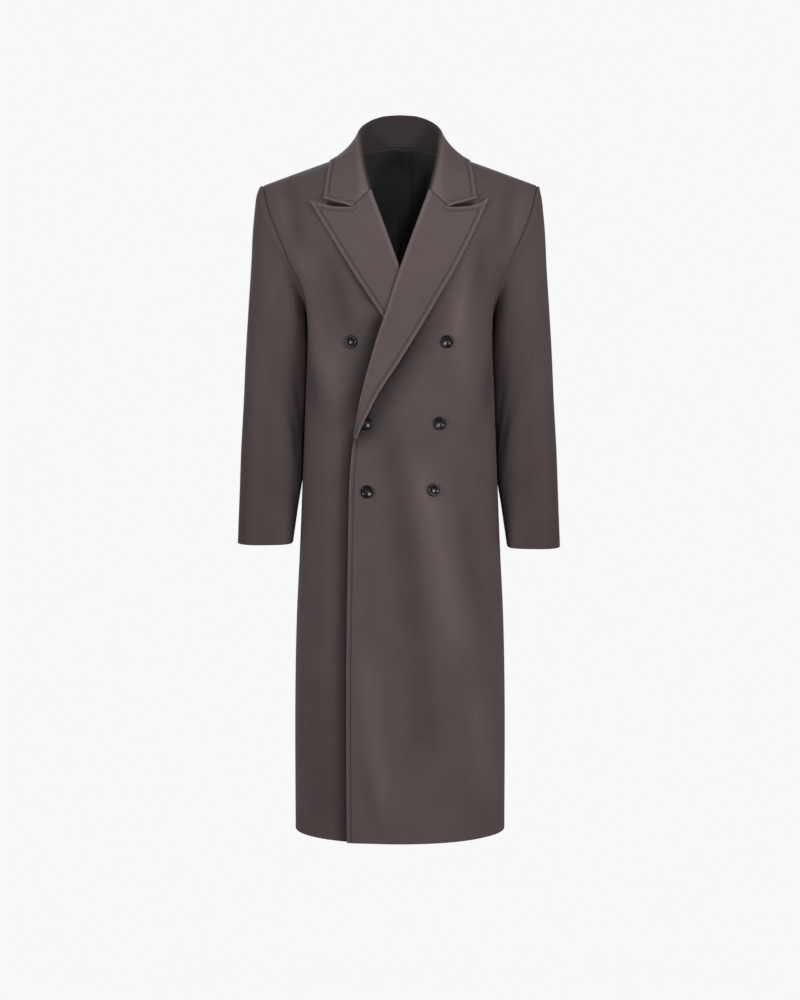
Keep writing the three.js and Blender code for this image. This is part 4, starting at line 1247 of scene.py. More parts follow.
# %% The collar's stations
COLLAR = Table("at fold_x fold_y fold_z radius mid_x mid_y mid_z edge_x edge_y edge_z", [
    (0, 0, 44, 66, 5, 0, 58, 26, 0, 68, -18),
    (0.2, 32, 40, 63, 5, 38, 54, 24, 44, 65, -19),
    (0.4, 58, 25, 52, 5, 74, 38, 18, 90, 46, -19),
    (0.55, 69, 4, 36, 5, 92, 7, 10, 117, 4, -12),
    (0.7, 68, -28, 12, 4.5, 95, -30, -7, 125, -36, -27),
    (0.85, 63.5, -66, -21, 4, 92, -72, -37, 130.5, -69, -55),
    (1, 53, -101, -66, 3.4, 84, -106, -92, 134, -91, -86),
])
STAND_STEPS = 6
LEAF_STEPS = 8
NECK_GAP = 1.5
NECK_POINT_AT = 0.55
GORGE_TURN = 48.2
FOLD_AIR = 0.7
NOTCH_STAND_OFF = 5.0
# Painted shade on the collar's stand, inside the neck.
STAND_SHADE = 1.3
LEAF_WIDTH = 120.0
FELLED_TO = 0.62
END_BLEND = {"stand": 0.93, "leaf": 0.8}
SECTION_STEPS = STAND_STEPS + LEAF_STEPS


def neck_edge(at):
    """The point of the neck's edge that a station is sewn to, and the normal there."""
    behind = at <= NECK_POINT_AT
    x = NECK_HALF_WIDTH * np.sin(np.radians(90 * np.minimum(at / NECK_POINT_AT, 1)))
    back_level = back_top(x)
    back_turn = turn_of(x, back_level)
    over = mix(90, GORGE_TURN, np.clip((at - NECK_POINT_AT) / (1 - NECK_POINT_AT), 0, 1))
    front_level = ARMPIT * (1 - np.sin(np.radians(over)))
    front_turn = turn_of(edge_at(front_level), front_level)
    at_back, at_front = (BACK, back_turn, back_level), (FRONT, front_turn, front_level)
    return [np.where(behind[:, None], place(*at_back), place(*at_front)) for place in (torso, body_normal)]


def stand_base(at):
    point, normal = neck_edge(at)
    tangent = unit(neck_edge(np.minimum(at + 0.01, 1))[0] - neck_edge(np.maximum(at - 0.01, 0))[0])
    inward = unit(np.cross(normal, tangent))
    towards = -point[:, 0] * inward[:, 0] - (point[:, 1] + 20) * inward[:, 1]
    inward = np.where((towards < 0)[:, None], -inward, inward)
    return point + inward * (NECK_GAP + LAPEL_CLOTH) - normal * ROLL_LEG


def collar_sections(at):
    """The section at each station, as points from the stand's foot over the fold to the leaf's edge."""
    base = stand_base(at)
    parts = ("fold", "mid", "edge")
    fold, middle, edge = (np.stack([COLLAR.read(f"{n}_{axis}", at) for axis in "xyz"], axis=1) for n in parts)
    radius = COLLAR.read("radius", at)[:, None]
    down_stand, down_leaf = unit(base - fold), unit(middle - fold)
    down, across = unit(down_stand + down_leaf), unit(down_leaf - down_stand)
    inner = fold + down * radius * 0.8 - across * radius
    outer = fold + down * radius * 0.8 + across * radius
    stand = [mix(base, inner, k / (STAND_STEPS - 2)) for k in range(STAND_STEPS - 1)]
    leaf = []
    for k in range(LEAF_STEPS + 1):
        s = k / LEAF_STEPS
        leaf.append(outer * (1 - s) * (1 - 2 * s) + middle * 4 * s * (1 - s) + edge * s * (2 * s - 1))
    return np.stack([*stand, fold, *leaf], axis=1)


def collar_end(k, thickness):
    """The collar's end on the front, at each step k of its section."""
    past, height = roll(ROLL_INNER_RADIUS + thickness, np.clip(k / STAND_STEPS, 0, 1))
    width = math.hypot(COLLAR_POINT[0] - GORGE_START[0], COLLAR_POINT[1] - GORGE_START[1])
    step = k - STAND_STEPS
    beyond = mix(GORGE_SHARE, 1, (step - 2) / (LEAF_STEPS - 2))
    share = np.where(k <= STAND_STEPS, past / width, np.where(step <= 2, GORGE_SHARE * step / 2, beyond))
    x, z = on_parting(COLLAR_END, share)
    flat = LAPEL_LIFT + thickness + NOTCH_STAND_OFF * smooth(GORGE_SHARE, 0.55, share)
    return front_at(RIGHT, x, z, np.where(k <= STAND_STEPS, np.minimum(height, flat), flat))


def above_body(points):
    """How far points are above the body, and the normals there."""
    x, z = points[..., 0], points[..., 2]
    level = level_of(x, z)
    turn = turn_of(x, level)
    in_front = (points[..., 1] < 0)[..., None]
    foot = np.where(in_front, torso(FRONT, turn, level), torso(BACK, turn, level))
    normal = np.where(in_front, body_normal(FRONT, turn, level), body_normal(BACK, turn, level))
    return ((points - foot) * normal).sum(-1), normal


print("the collar has", len(COLLAR.rows), "stations")


# %% Make the collar
def make_collar():
    half = float(lengths(collar_sections(np.linspace(0, 1, 60))[:, -1][None], 1)[0, -1])
    at = 1 - spaced(half, EDGE_STEPS, np.array([0.0]), 105)[0][::-1] / half
    at[0] = 0
    fine = LEAF_STEPS * EDGE_STEPS[::-1] / LEAF_WIDTH
    k = np.concatenate([
        np.linspace(0, STAND_STEPS - 2, 18)[:-1],
        np.linspace(STAND_STEPS - 2, STAND_STEPS + 0.5, 16)[:-1],
        np.linspace(STAND_STEPS + 0.5, STAND_STEPS + 2, 8)[:-1],
        np.linspace(STAND_STEPS + 2, SECTION_STEPS - fine[0], 28)[:-1],
        SECTION_STEPS - fine,
    ])
    sections = spline(collar_sections(at), k)
    end = collar_end(k, LAPEL_CLOTH)
    blend_from = np.where(k < STAND_STEPS, END_BLEND["stand"], END_BLEND["leaf"])
    share = smooth(blend_from[None], 1.0, at[:, None]) ** 1.5
    form = mix(sections, end[None], share[..., None])
    rests = (k >= STAND_STEPS - 1)[None, :, None] & (at < 1)[:, None, None]
    least = LAPEL_LIFT + LAPEL_CLOTH + FOLD_AIR * np.clip(2 - np.abs(k - STAND_STEPS), 0, 1)
    for _ in range(3):
        height, normal = above_body(form)
        form = np.where(rests, form + normal * np.maximum(0, least - height)[..., None], form)
    normals = grid_normals(form)
    if normals[0, -1, 1] < 0:
        normals = -normals
    under = form - normals * LAPEL_CLOTH
    near_end = smooth(0.985, 1.0, at)[:, None, None]
    under = mix(under, collar_end(k, 0.0)[None], near_end)
    through = unit(form - under)
    notch_column = int(np.argmin(np.abs(k - STAND_STEPS - 2)))
    finished = np.concatenate([form[:-1, -1], form[-1, ::-1][: len(k) - notch_column]])
    stitched = line_distance(form, finished)
    gorge = line_distance(form, form[-1, : notch_column + 1])
    from_centre, from_foot = lengths(form, 0), lengths(form, 1)
    from_sides = np.minimum(from_foot, from_foot[:, -1:] - from_foot)
    from_border = np.minimum(from_sides, from_centre[-1:] - from_centre)
    relief = stitched_edge(stitched) + sewn_seam(gorge) * 0.8
    turned = turned_edge(from_border, LAPEL_CLOTH)
    outer = form + through * (relief - turned)[..., None]
    inner = under + through * turned[..., None]
    # Painted shade in the channel, the gorge seam and over the stand; painted light over the whole collar,
    # more on its rims and along the fold.
    hollow = stitch_shade(stitched) + seam_shade(gorge)
    hollow = hollow + STAND_SHADE * smooth(STAND_STEPS + 0.2, STAND_STEPS - 1, k)[None]
    folded = bell(k, STAND_STEPS + 0.6, 0.9)[None]
    brushed = PAINTED_LAPEL_LIGHT[0] + np.maximum(painted_rim_light(stitched), 0.9 * folded)
    mirror = np.array([-1.0, 1, 1])

    def both(grid, flip=None):
        other = grid[:0:-1] if flip is None else grid[:0:-1] * flip
        return np.concatenate([other, grid])

    marks = {"hollow": both(hollow), "brushed": both(brushed)}
    keep_edge(
        "collar_cloth", form, normals, finished,
        lambda grid: grid[:, ::-1], lambda grid: grid[::-1].swapaxes(0, 1)[notch_column + 1 :],
    )
    wall("collar_cloth", both(outer, mirror), both(inner, mirror), melton.material, marks=marks)
    foot = at < FELLED_TO
    outward = normals[foot, 0]
    return form[foot, 0] + unit(form[foot, 1] - form[foot, 0]) * 1.4 + outward * 0.2, outward


collar_foot = make_collar()

# %% [markdown]
# ## The sleeves
# A sleeve grows out of the armhole's own curve and turns into sections of the arm. It is set in with a
# little fullness at the top, which makes the ridge just outside the seam.

# %% The sleeves' rings
RINGS = Table("along out_x out_y out_z in_x in_y in_z depth armhole", [
    (0, 245, 0, -62, 168, 0, -300, 72, 1),
    (0.04, 252, 0, -67, 169.8, 9, -299, 76, 0.95),
    (0.08, 257, 0, -80, 168.4, 24, -304, 79, 0.84),
    (0.13, 260, 0, -103, 167, 34, -315, 81, 0.66),
    (0.21, 264, 0, -146, 165.5, 41, -339, 81, 0.42),
    (0.31, 267, 0, -205, 165, 46, -372, 80, 0.22),
    (0.42, 272, 0, -278, 166.5, 47, -414, 78, 0.08),
    (0.53, 277, -1, -358, 169, 46, -462, 75, 0),
    (0.64, 281, -4, -444, 172, 42, -516, 72, 0),
    (0.75, 286, -9, -534, 175, 34, -576, 69, 0),
    (0.87, 289, -17, -620, 184, 14, -637, 64, 0),
    (1, 292, -26, -701, 193, -10, -701, 57, 0),
])
LEFT_SLEEVE = {"drop": 7, "inset": 4}
RING_POWER = 2.2
INNER_POWER = 3.8
SEAM_GAP = 0.75
SEAM_REACH = 3


def armhole_point(k, height, reach):
    """A point of the armhole, carried on past it over the body's surface. k counts the solids' rows."""
    in_front = k <= CHEST_ROWS
    level = row_level(np.where(in_front, ROWS - k, SKIRT_ROWS + k - CHEST_ROWS))
    half_width = SECTIONS.read("half_width", level)
    turn = np.where(in_front, ARMHOLE.read("front", level), ARMHOLE.read("back", level))
    rising = smooth(ARMPIT + 40, ARMPIT, level)
    past = np.minimum(90, turn + ((1 - rising) * reach * 90) / (half_width * math.pi / 2))
    raised = np.minimum(0, level + rising * reach)
    front = torso(FRONT, past, raised) + body_normal(FRONT, past, raised) * height
    back = torso(BACK, past, raised) + body_normal(BACK, past, raised) * height
    return np.where(in_front[:, None], front, back)


def ring_angle(k):
    """Where the armhole's rows come on a ring: 0 at the top, 90 in front, 180 below."""
    top = armhole_point(np.array([0.0]), 0, SEAM)[0, 2]
    bottom = armhole_point(np.array([float(CHEST_ROWS)]), 0, SEAM)[0, 2]
    z = armhole_point(k, 0, SEAM)[:, 2]
    angle = np.degrees(np.arccos(np.clip(2 * (z - bottom) / (top - bottom) - 1, -1, 1)))
    return np.where(k <= CHEST_ROWS, angle, 360 - angle)


def ring_point(ring, k, drop, inset):
    value = dict(zip(RINGS.columns, ring))
    along = value["along"]
    angle = np.radians(ring_angle(k))
    in_front = (angle > math.pi / 2) & (angle < math.pi)
    exponent = 2 / np.where(in_front, mix(RING_POWER, INNER_POWER, smooth(0.08, 0.3, along)), RING_POWER)
    inside = (1 - power(np.cos(angle), exponent)) / 2
    return xyz(
        mix(value["out_x"] - inset * smooth(0, 0.06, along), value["in_x"], inside),
        mix(value["out_y"], value["in_y"], inside) - value["depth"] * power(np.sin(angle), exponent),
        mix(value["out_z"], value["in_z"], inside) - drop * smooth(0.1, 0.8, along),
    )


print("a sleeve has", len(RINGS.rows), "rings")

# %% [markdown]
# The arm's folds are placed as the body's are: a line from one point to another, by its angle round the
# arm and its share of the way down, with a half-width in degrees and a rise.

# %% Make the sleeves
ARM_FOLDS = [dict(zip("top_angle top low_angle low width rise".split(), row)) for row in (
    (60, 0.30, 130, 0.62, 16, -2.2),
    (120, 0.40, 165, 0.60, 14, -2.5),
    (95, 0.50, 140, 0.78, 15, 1.6),
    (250, 0.35, 200, 0.62, 16, -2.4),
    (285, 0.25, 225, 0.52, 15, 1.8),
    (300, 0.05, 280, 0.35, 17, -1.6),
)]
SLEEVE_HEAD = {"rise": 1.5, "from": 5.0, "width": 3.6}
SLEEVE_COUNTS = {"round": 168, "rough": 400, "down": 110}
# Painted light and shade on a sleeve: lighter on its ridges and its inner front, a little darker all over,
# and darker towards the cuff.
SLEEVE_PAINTED_LIGHT = {"fold": 0.1, "level": -0.12, "cuff": -0.85, "inside_front": 1.1}


def arm_fold_rise(angle, share):
    rise = 0 * (angle + share)
    for fold in ARM_FOLDS:
        t = np.clip((share - fold["top"]) / (fold["low"] - fold["top"]), 0, 1)
        away = (angle - mix(fold["top_angle"], fold["low_angle"], t)) / fold["width"]
        begun = smooth(fold["top"] - 0.1, fold["top"] + 0.1, share)
        faded = begun * smooth(fold["low"] + 0.1, fold["low"] - 0.1, share)
        rise = rise + fold["rise"] * np.exp(-(away**2)) * faded
    return rise


def make_sleeve(side, name):
    drop = LEFT_SLEEVE["drop"] if side == LEFT else 0
    inset = LEFT_SLEEVE["inset"] if side == LEFT else 0
    k = np.arange(0, 2 * CHEST_ROWS, 2 * CHEST_ROWS / SLEEVE_COUNTS["round"])
    angle = ring_angle(k)
    first = RINGS.rows[0]
    shape = armhole_point(k, 0, SEAM) - ring_point(first, k, 0, 0)
    rings = [armhole_point(k, 0, SEAM_GAP), armhole_point(k, 0, SEAM_REACH)]
    for ring in RINGS.rows[1:]:
        rings.append(ring_point(ring, k, drop, inset) + shape * ring[-1])
    rings = np.stack(rings, axis=1)
    rough_rows = np.linspace(0, rings.shape[1] - 1, SLEEVE_COUNTS["rough"])
    rough = spline(rings, rough_rows)
    places = np.broadcast_to(rough_rows, rough.shape[:2])
    rows = respaced(rough, places, SEAM_STEPS, SEAM_STEPS, SLEEVE_COUNTS["down"])
    form = np.stack([spline(rings[n : n + 1], rows[n])[0] for n in range(len(k))], axis=1)
    normals = grid_normals(form, closed=True)
    centre = form.mean(axis=1, keepdims=True)
    if ((form - centre) * normals)[40:].sum() < 0:
        normals = -normals
    down = lengths(form, 0)
    share = down / down[-1:]
    head = smooth(75, 20, np.minimum(angle, 360 - angle))[None]
    ridge = SLEEVE_HEAD["rise"] * bell(down, SLEEVE_HEAD["from"], SLEEVE_HEAD["width"]) * head
    from_ends = np.minimum(down, down[-1:] - down)
    folds = arm_fold_rise(angle[None], share)
    relief = folds + sewn_seam(down) + ridge
    turned = turned_edge(from_ends, CLOTH)
    outer = form + normals * (relief - turned)[..., None]
    inner = form - normals * (CLOTH - turned)[..., None]
    inner[0] = armhole_point(k, -CLOTH, SEAM_GAP)
    # Painted light and shade by fold, by place round the arm and by share of length, and painted shade at the
    # seams.
    inside_front = bell(angle[None], 140, 32) * smooth(0.05, 0.25, share)
    brushed = SLEEVE_PAINTED_LIGHT["fold"] * folds + SLEEVE_PAINTED_LIGHT["level"] + SLEEVE_PAINTED_LIGHT["cuff"] * share**1.8
    brushed = brushed + SLEEVE_PAINTED_LIGHT["inside_front"] * inside_front
    marks = {"hollow": seam_shade(down), "brushed": brushed}
    flip = np.array([side, 1, 1])
    return wall(name, outer * flip, inner * flip, melton.material, closed=True, marks=marks)


make_sleeve(RIGHT, "right_sleeve")
make_sleeve(LEFT, "left_sleeve")

# %% [markdown]
# ## The buttons
# Six four-hole buttons, turned with a rolled rim round a shallow dish. A button is a shape that follows a
# rule, so Geometry Nodes turn it: a disc whose height depends on the distance from its centre, with four
# holes cut through by a Boolean.


# %% Helpers for Geometry Nodes
class Tree:
    """A Geometry Nodes tree with named inputs, and the same way of adding nodes as a finish has."""

    def __init__(self, name, inputs):
        self.tree = bpy.data.node_groups.new(name, "GeometryNodeTree")
        self.tree.interface.new_socket("Geometry", in_out="INPUT", socket_type="NodeSocketGeometry")
        for label, value in inputs.items():
            kind = "NodeSocketInt" if isinstance(value, int) else "NodeSocketFloat"
            socket = self.tree.interface.new_socket(label, in_out="INPUT", socket_type=kind)
            socket.default_value = value
        self.tree.interface.new_socket("Geometry", in_out="OUTPUT", socket_type="NodeSocketGeometry")
        self.inputs = self.wires(self.tree.nodes.new("NodeGroupInput"))
        self.output = self.tree.nodes.new("NodeGroupOutput")

    def wires(self, node):
        return {output.name: Wire(self, output) for output in node.outputs if output.enabled and output.name}

    def node(self, kind, settings, *values, **named):
        node = self.tree.nodes.new(kind)
        for setting, value in settings.items():
            setattr(node, setting, value)
        places = [socket for socket in node.inputs if socket.enabled]
        sockets = list(zip(places, values))
        by_name = {socket.name.replace(" ", "_"): socket for socket in reversed(places)}
        sockets += [(by_name[name], value) for name, value in named.items()]
        for socket, value in sockets:
            if isinstance(value, Wire):
                self.tree.links.new(value.socket, socket)
            elif value is not None:
                socket.default_value = value
        found = self.wires(node)
        if kind == "ShaderNodeMath":
            return {"Value": Wire(self, node.outputs[0])}
        return found

    def end(self, geometry, material):
        """Realizes what was made, gives it its material, and sends it out."""
        real = self.node("GeometryNodeRealizeInstances", {}, geometry)["Geometry"]
        done = self.node("GeometryNodeSetMaterial", {}, real, Material=material)["Geometry"]
        self.tree.links.new(done.socket, self.output.inputs["Geometry"])

    def grow(self, name, mesh, **inputs):
        """Runs the tree on a mesh and keeps the result as a plain mesh."""
        carrier = bpy.data.objects.new(name + "_path", mesh)
        scene.collection.objects.link(carrier)
        modifier = carrier.modifiers.new("nodes", "NODES")
        modifier.node_group = self.tree
        for item in self.tree.interface.items_tree:
            key = item.name.replace(" ", "_")
            if item.in_out == "INPUT" and key in inputs:
                modifier[item.identifier] = inputs[key]
        evaluated = carrier.evaluated_get(bpy.context.evaluated_depsgraph_get())
        made = bpy.data.meshes.new_from_object(evaluated)
        carrier.modifiers.clear()
        bpy.data.objects.remove(carrier)
        made.name = name
        piece = bpy.data.objects.new(name, made)
        scene.collection.objects.link(piece)
        pieces[name] = piece
        return piece


print("Geometry Nodes helpers are ready")

# %% Turn a button
BUTTON_PLACES = [dict(zip("name x z front".split(), row)) for row in (
    ("right_top", -85, -336, RIGHT),
    ("left_top", 80, -335, LEFT),
    ("right_middle", -58, -478, LEFT),
    ("left_middle", 67, -478, LEFT),
    ("right_bottom", -56, -598, LEFT),
    ("left_bottom", 56, -595, LEFT),
)]
BUTTON_SEAT = 0.8
BUTTON_SIZES = {
    "Radius": 11.4,
    "Height": 3.8,
    "Dish radius": 8.6,
    "Dish depth": 1.5,
    "Hole radius": 1.05,
    "Hole offset": 2.1,
}

turning = Tree("turned_button", BUTTON_SIZES)
size = turning.inputs
disc = turning.node(
    "GeometryNodeMeshCylinder", {"fill_type": "TRIANGLE_FAN"},
    Vertices=72, Side_Segments=10, Fill_Segments=26, Radius=size["Radius"], Depth=size["Height"],
)["Mesh"]
spot = turning.node("ShaderNodeSeparateXYZ", {}, turning.node("GeometryNodeInputPosition", {})["Position"])
from_axis = ((spot["X"] ** 2.0) + (spot["Y"] ** 2.0)) ** 0.5
share_out = from_axis / size["Radius"]
on_top = spot["Z"].sum("GREATER_THAN", spot["Z"], size["Height"] * 0.49)
dish = 1 - (from_axis / size["Dish radius"]) ** 2.0
dish = dish.sum("MAXIMUM", dish, 0.0)
rolled = turning.node(
    "ShaderNodeMapRange", {"interpolation_type": "SMOOTHSTEP"},
    Value=share_out, From_Min=0.84, From_Max=1.0, To_Min=0.0, To_Max=1.0,
)["Result"]
higher = spot["Z"] - on_top * (dish * size["Dish depth"] + rolled * 0.9)
side_share = spot["Z"] / (size["Height"] * 0.5)
narrower = 1 - (share_out ** 12.0) * (side_share - 0.15) * (side_share - 0.15) * 0.1
turned_to = turning.node("ShaderNodeCombineXYZ", {}, spot["X"] * narrower, spot["Y"] * narrower, higher)
blank = turning.node("GeometryNodeSetPosition", {}, disc, Position=turned_to["Vector"])["Geometry"]
hole_span = size["Hole offset"] * 2.0
corners = turning.node("GeometryNodeMeshGrid", {}, hole_span, hole_span, 2, 2)["Mesh"]
drill = turning.node(
    "GeometryNodeMeshCylinder", {},
    Vertices=20, Side_Segments=1, Fill_Segments=1, Radius=size["Hole radius"], Depth=20.0,
)["Mesh"]
drills = turning.node("GeometryNodeInstanceOnPoints", {}, corners, Instance=drill)["Instances"]
drills = turning.node("GeometryNodeRealizeInstances", {}, drills)["Geometry"]
turning.node("GeometryNodeMeshBoolean", {"operation": "DIFFERENCE", "solver": "EXACT"})
boolean = turning.tree.nodes[-1]
turning.tree.links.new(blank.socket, boolean.inputs["Mesh 1"])
turning.tree.links.new(drills.socket, boolean.inputs["Mesh 2"])
turning.end(Wire(turning, boolean.outputs["Mesh"]), horn.material)
print("the button's tree has", len(turning.tree.nodes), "nodes")


# %% Seat the buttons
def seat_of(button, height):
    """Where a button sits on its front, as its centre and three axes: across, up and out."""
    x, z = float(button["x"]), float(button["z"])
    level = level_of(x, z)
    outward = body_normal(FRONT, turn_of(x, level), level)
    across_it = unit(np.cross(np.cross(outward, np.array([1.0, 0, 0])), outward))
    upward = np.cross(outward, across_it)
    return front_at(button["front"], x, z, height), np.stack([across_it, upward, outward])


def move_mesh(mesh, centre, axes, scale=1.0):
    """Puts a mesh made in mm at the origin into its place, in metres."""
    points = np.empty(len(mesh.vertices) * 3)
    mesh.vertices.foreach_get("co", points)
    points = (points.reshape(-1, 3) * scale) @ axes + centre
    mesh.vertices.foreach_set("co", (points / 1000).ravel())
    mesh.update()


empty_mesh = bpy.data.meshes.new("blank")
pattern = turning.grow("pattern_button", empty_mesh)
pieces.pop("pattern_button")
for button in BUTTON_PLACES:
    mesh = pattern.data.copy()
    centre, axes = seat_of(button, BUTTON_SEAT + BUTTON_SIZES["Height"] / 2)
    move_mesh(mesh, centre, axes)
    mesh.set_sharp_from_angle(angle=math.radians(38))
    piece = bpy.data.objects.new("coat_button_" + button["name"], mesh)
    scene.collection.objects.link(piece)
    pieces[piece.name] = piece
bpy.data.objects.remove(pattern)
print("six buttons of", len(mesh.polygons), "faces each")

# %% [markdown]
# ## Thread and stitches
# The topstitching runs in the channel along every turned edge. One stitch is a short bar of thread whose
# ends dive into the cloth. Geometry Nodes walk along a path, set one stitch at each step, and lay it along
# the path with its back to the cloth. The same tree makes the buttonholes, with the stitches turned
# across the path, and the fine hand stitches that hold the lining to the collar.

# %% The stitch tree
STITCH_SIZES = {"Pitch": 4.2, "Length": 3.4, "Thread": 0.32, "Rise": 0.5, "Turn": 0.0}

sewing = Tree("stitches_on_a_path", STITCH_SIZES)
stitch = sewing.inputs
path = sewing.node("GeometryNodeMeshToCurve", {}, stitch["Geometry"])["Curve"]
steps = sewing.node("GeometryNodeResampleCurve", {"mode": "LENGTH"}, path, Length=stitch["Pitch"])["Curve"]
half_stitch = stitch["Length"] * 0.5
start = sewing.node("ShaderNodeCombineXYZ", {}, half_stitch * -1.0, 0.0, stitch["Rise"] * -0.7)["Vector"]
middle = sewing.node("ShaderNodeCombineXYZ", {}, 0.0, 0.0, stitch["Rise"])["Vector"]
finish = sewing.node("ShaderNodeCombineXYZ", {}, half_stitch, 0.0, stitch["Rise"] * -0.7)["Vector"]
bar = sewing.node("GeometryNodeCurveQuadraticBezier", {}, 5, start, middle, finish)["Curve"]
CIRCLE = "GeometryNodeCurvePrimitiveCircle"
thread_round = sewing.node(CIRCLE, {"mode": "RADIUS"}, 6, Radius=stitch["Thread"])["Curve"]
bar = sewing.node("GeometryNodeCurveToMesh", {}, bar, thread_round, Fill_Caps=True)["Mesh"]
bar = sewing.node("GeometryNodeSetShadeSmooth", {}, bar)["Geometry"]
KEPT = "GeometryNodeInputNamedAttribute"
out_of_cloth = sewing.node(KEPT, {"data_type": "FLOAT_VECTOR"}, "outward")["Attribute"]
along_path = sewing.node("GeometryNodeInputTangent", {})["Tangent"]
laid = sewing.node(
    "FunctionNodeAxesToRotation", {"primary_axis": "Z", "secondary_axis": "X"},
    Primary_Axis=out_of_cloth, Secondary_Axis=along_path,
)["Rotation"]
set_in = sewing.node("GeometryNodeInstanceOnPoints", {}, steps, Instance=bar, Rotation=laid)["Instances"]
quarter = sewing.node("ShaderNodeCombineXYZ", {}, 0.0, 0.0, stitch["Turn"])["Vector"]
set_in = sewing.node("GeometryNodeRotateInstances", {}, set_in, Rotation=quarter, Local_Space=True)
sewing.end(set_in["Instances"], topstitch_thread.material)
print("the stitch tree has", len(sewing.tree.nodes), "nodes")


# %% Paths for the stitches
def path_mesh(name, lines):
    """A mesh of open lines, each a pair of points and normals in mm, with the normals kept on it."""
    points = np.concatenate([line for line, _ in lines])
    normals = np.concatenate([normal for _, normal in lines])
    edges, first = [], 0
    for line, _ in lines:
        edges += [(n, n + 1) for n in range(first, first + len(line) - 1)]
        first += len(line)
    mesh = bpy.data.meshes.new(name)
    mesh.from_pydata(points.tolist(), edges, [])
    outward = mesh.attributes.new("outward", "FLOAT_VECTOR", "POINT")
    outward.data.foreach_set("vector", normals.astype(np.float32).ravel())
    return mesh


def to_metres(piece):
    move_mesh(piece.data, np.zeros(3), np.eye(3))
    return piece


CHANNEL = -0.6


def channel_path(grid, finished):
    """The stitches' path: where each row first lies as far from the finished edge as the channel."""
    away = np.maximum.accumulate(line_distance(grid[..., :3], finished), axis=1)
    reaches = away[:, -1] > STITCH_LINE
    rows = zip(away[reaches], grid[reaches])
    path = np.array([[np.interp(STITCH_LINE, a, g[:, n]) for n in range(6)] for a, g in rows])
    return path[:, :3] + path[:, 3:] * CHANNEL, path[:, 3:]


def mirrored(line):
    return tuple(part * (-1, 1, 1) for part in line)


print("paths can be laid")

# %% Sew the edges
for name, edge in edges.items():
    lines = [channel_path(grid, edge["finished"]) for grid in edge["grids"]]
    if name == "collar_cloth":
        lines += [mirrored(line) for line in lines]
    to_metres(sewing.grow(name + "_stitches", path_mesh("path", lines)))
print({name: len(piece.data.polygons) for name, piece in pieces.items() if "stitches" in name})

# %% [markdown]
# A button is held by two bars of thread over its four holes, and by a shank wound under it, which leaves
# room for the cloth. The two buttons that the left front closes over come through real buttonholes, worked
# round with close stitches. At the back of the neck the collar is felled down by hand.

# %% Hold the buttons, work the buttonholes, fell the collar
BAR_SPREAD = 0.48
BAR_HEIGHT = BUTTON_SEAT + BUTTON_SIZES["Height"] - BUTTON_SIZES["Dish depth"] + 0.1
BUTTONHOLE = {"before": -13.5, "after": 11.0, "half_width": 1.15}
HAND = math.pi / 2

bars = []
for button in BUTTON_PLACES:
    centre, axes = seat_of(button, BAR_HEIGHT)
    for side in (-1, 1):
        offset = side * BUTTON_SIZES["Hole offset"]
        ends = np.array([[offset - BAR_SPREAD, 0, 0], [offset + BAR_SPREAD, 0, 0]]) @ axes + centre
        bars.append((ends, np.array([axes[2], axes[2]])))
bar_sizes = {"Pitch": 0.3, "Length": 4.9, "Thread": 0.19, "Rise": 0.8, "Turn": HAND}
button_threads = to_metres(sewing.grow("button_threads", path_mesh("path", bars), **bar_sizes))
button_threads.data.materials[0] = button_thread.material

winding = Tree("wound_shank", {"Windings": 5.0, "Radius": 1.5, "Height": 1.1, "Thread": 0.26})
wound = winding.inputs
coil = winding.node(
    "GeometryNodeCurveSpiral", {}, Resolution=16, Rotations=wound["Windings"], Start_Radius=wound["Radius"],
    End_Radius=wound["Radius"], Height=wound["Height"], Reverse=False,
)["Curve"]
strand = winding.node(CIRCLE, {"mode": "RADIUS"}, 6, Radius=wound["Thread"])["Curve"]
coil = winding.node("GeometryNodeCurveToMesh", {}, coil, strand, Fill_Caps=True)["Mesh"]
outward = winding.node(KEPT, {"data_type": "FLOAT_VECTOR"}, "outward")["Attribute"]
upright = winding.node("FunctionNodeAlignRotationToVector", {"axis": "Z"}, Vector=outward)["Rotation"]
shanks = winding.node(
    "GeometryNodeInstanceOnPoints", {}, wound["Geometry"], Instance=coil, Rotation=upright
)["Instances"]
winding.end(shanks, button_thread.material)
seats = [seat_of(button, 0.15) for button in BUTTON_PLACES]
feet = [(np.array([centre]), np.array([axes[2]])) for centre, axes in seats]
to_metres(winding.grow("button_shanks", path_mesh("path", feet)))

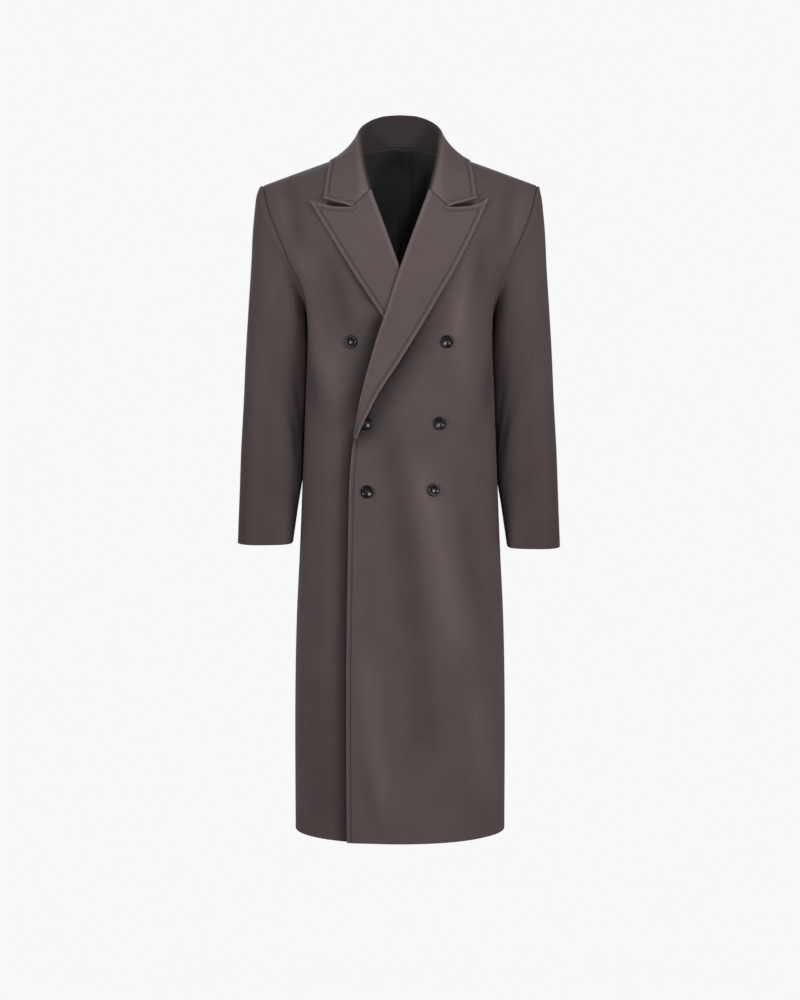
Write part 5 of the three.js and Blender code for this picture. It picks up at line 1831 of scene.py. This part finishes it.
buttonholes = []
for button in BUTTON_PLACES:
    if button["name"] not in ("right_middle", "right_bottom"):
        continue
    turn_round = np.radians(np.linspace(-90, 90, 9))
    half = BUTTONHOLE["half_width"]
    end = np.stack([np.cos(turn_round), np.sin(turn_round)], axis=1) * half
    loop = np.concatenate([end + (BUTTONHOLE["after"], 0), -end + (BUTTONHOLE["before"], 0)])
    loop = np.concatenate([loop, loop[:1]])
    x, z = button["x"] + loop[:, 0], button["z"] + loop[:, 1]
    level = level_of(x, z)
    turn = turn_of(x, level)
    buttonholes.append((front_point(LEFT, turn, level, 0.1), body_normal(FRONT, turn, level)))
hole_sizes = {"Pitch": 0.72, "Length": 2.3, "Thread": 0.3, "Rise": 0.55, "Turn": HAND}
to_metres(sewing.grow("buttonhole_stitches", path_mesh("path", buttonholes), **hole_sizes))

felling = [collar_foot, mirrored(collar_foot)]
felling_sizes = {"Pitch": 4.6, "Length": 3.4, "Thread": 0.34, "Rise": 0.5, "Turn": 0.5}
to_metres(sewing.grow("felling_stitches", path_mesh("path", felling), **felling_sizes))
print(len(bars), "bars,", len(feet), "shanks and", len(buttonholes), "buttonholes")

# %% [markdown]
# ## Everything in its place
# Each new piece rides on the coat's one body and hides the solid that it stands for. Each panel of cloth
# also states the flat size that it was cut to.

# %% Hand the pieces over
STANDS_FOR = {
    "right_front": "front_right",
    "left_front": "front_left",
    "back_panel": "back",
    "back_lining": "lining_back",
    "right_lapel": "lapel_right",
    "left_lapel": "lapel_left",
    "collar_cloth": "collar",
    "right_sleeve": "sleeve_right",
    "left_sleeve": "sleeve_left",
    **{"coat_button_" + b["name"]: "button_" + b["name"] for b in BUTTON_PLACES},
}
for name, piece in pieces.items():
    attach(piece, "root")
    if name in STANDS_FOR:
        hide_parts(STANDS_FOR[name])
    if "coat_button" in name or name in ("button_threads", "button_shanks"):
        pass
    elif "lining" in name:
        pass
    else:
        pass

HELD = {
    "right_front": ("hung", ["back_panel"]),
    "left_front": ("hung", ["back_panel"]),
    "back_panel": ("hung", ["collar_cloth"]),
    "back_lining": ("hung", ["back_panel"]),
    "right_lapel": ("folded", ["right_front"]),
    "left_lapel": ("folded", ["left_front"]),
    "collar_cloth": ("folded", ["back_panel"]),
    "right_sleeve": ("hung", ["right_front", "back_panel"]),
    "left_sleeve": ("hung", ["left_front", "back_panel"]),
}
for name, (held, rests_on) in HELD.items():
    sewn_on = [pieces[name + "_stitches"]] if name in edges else []
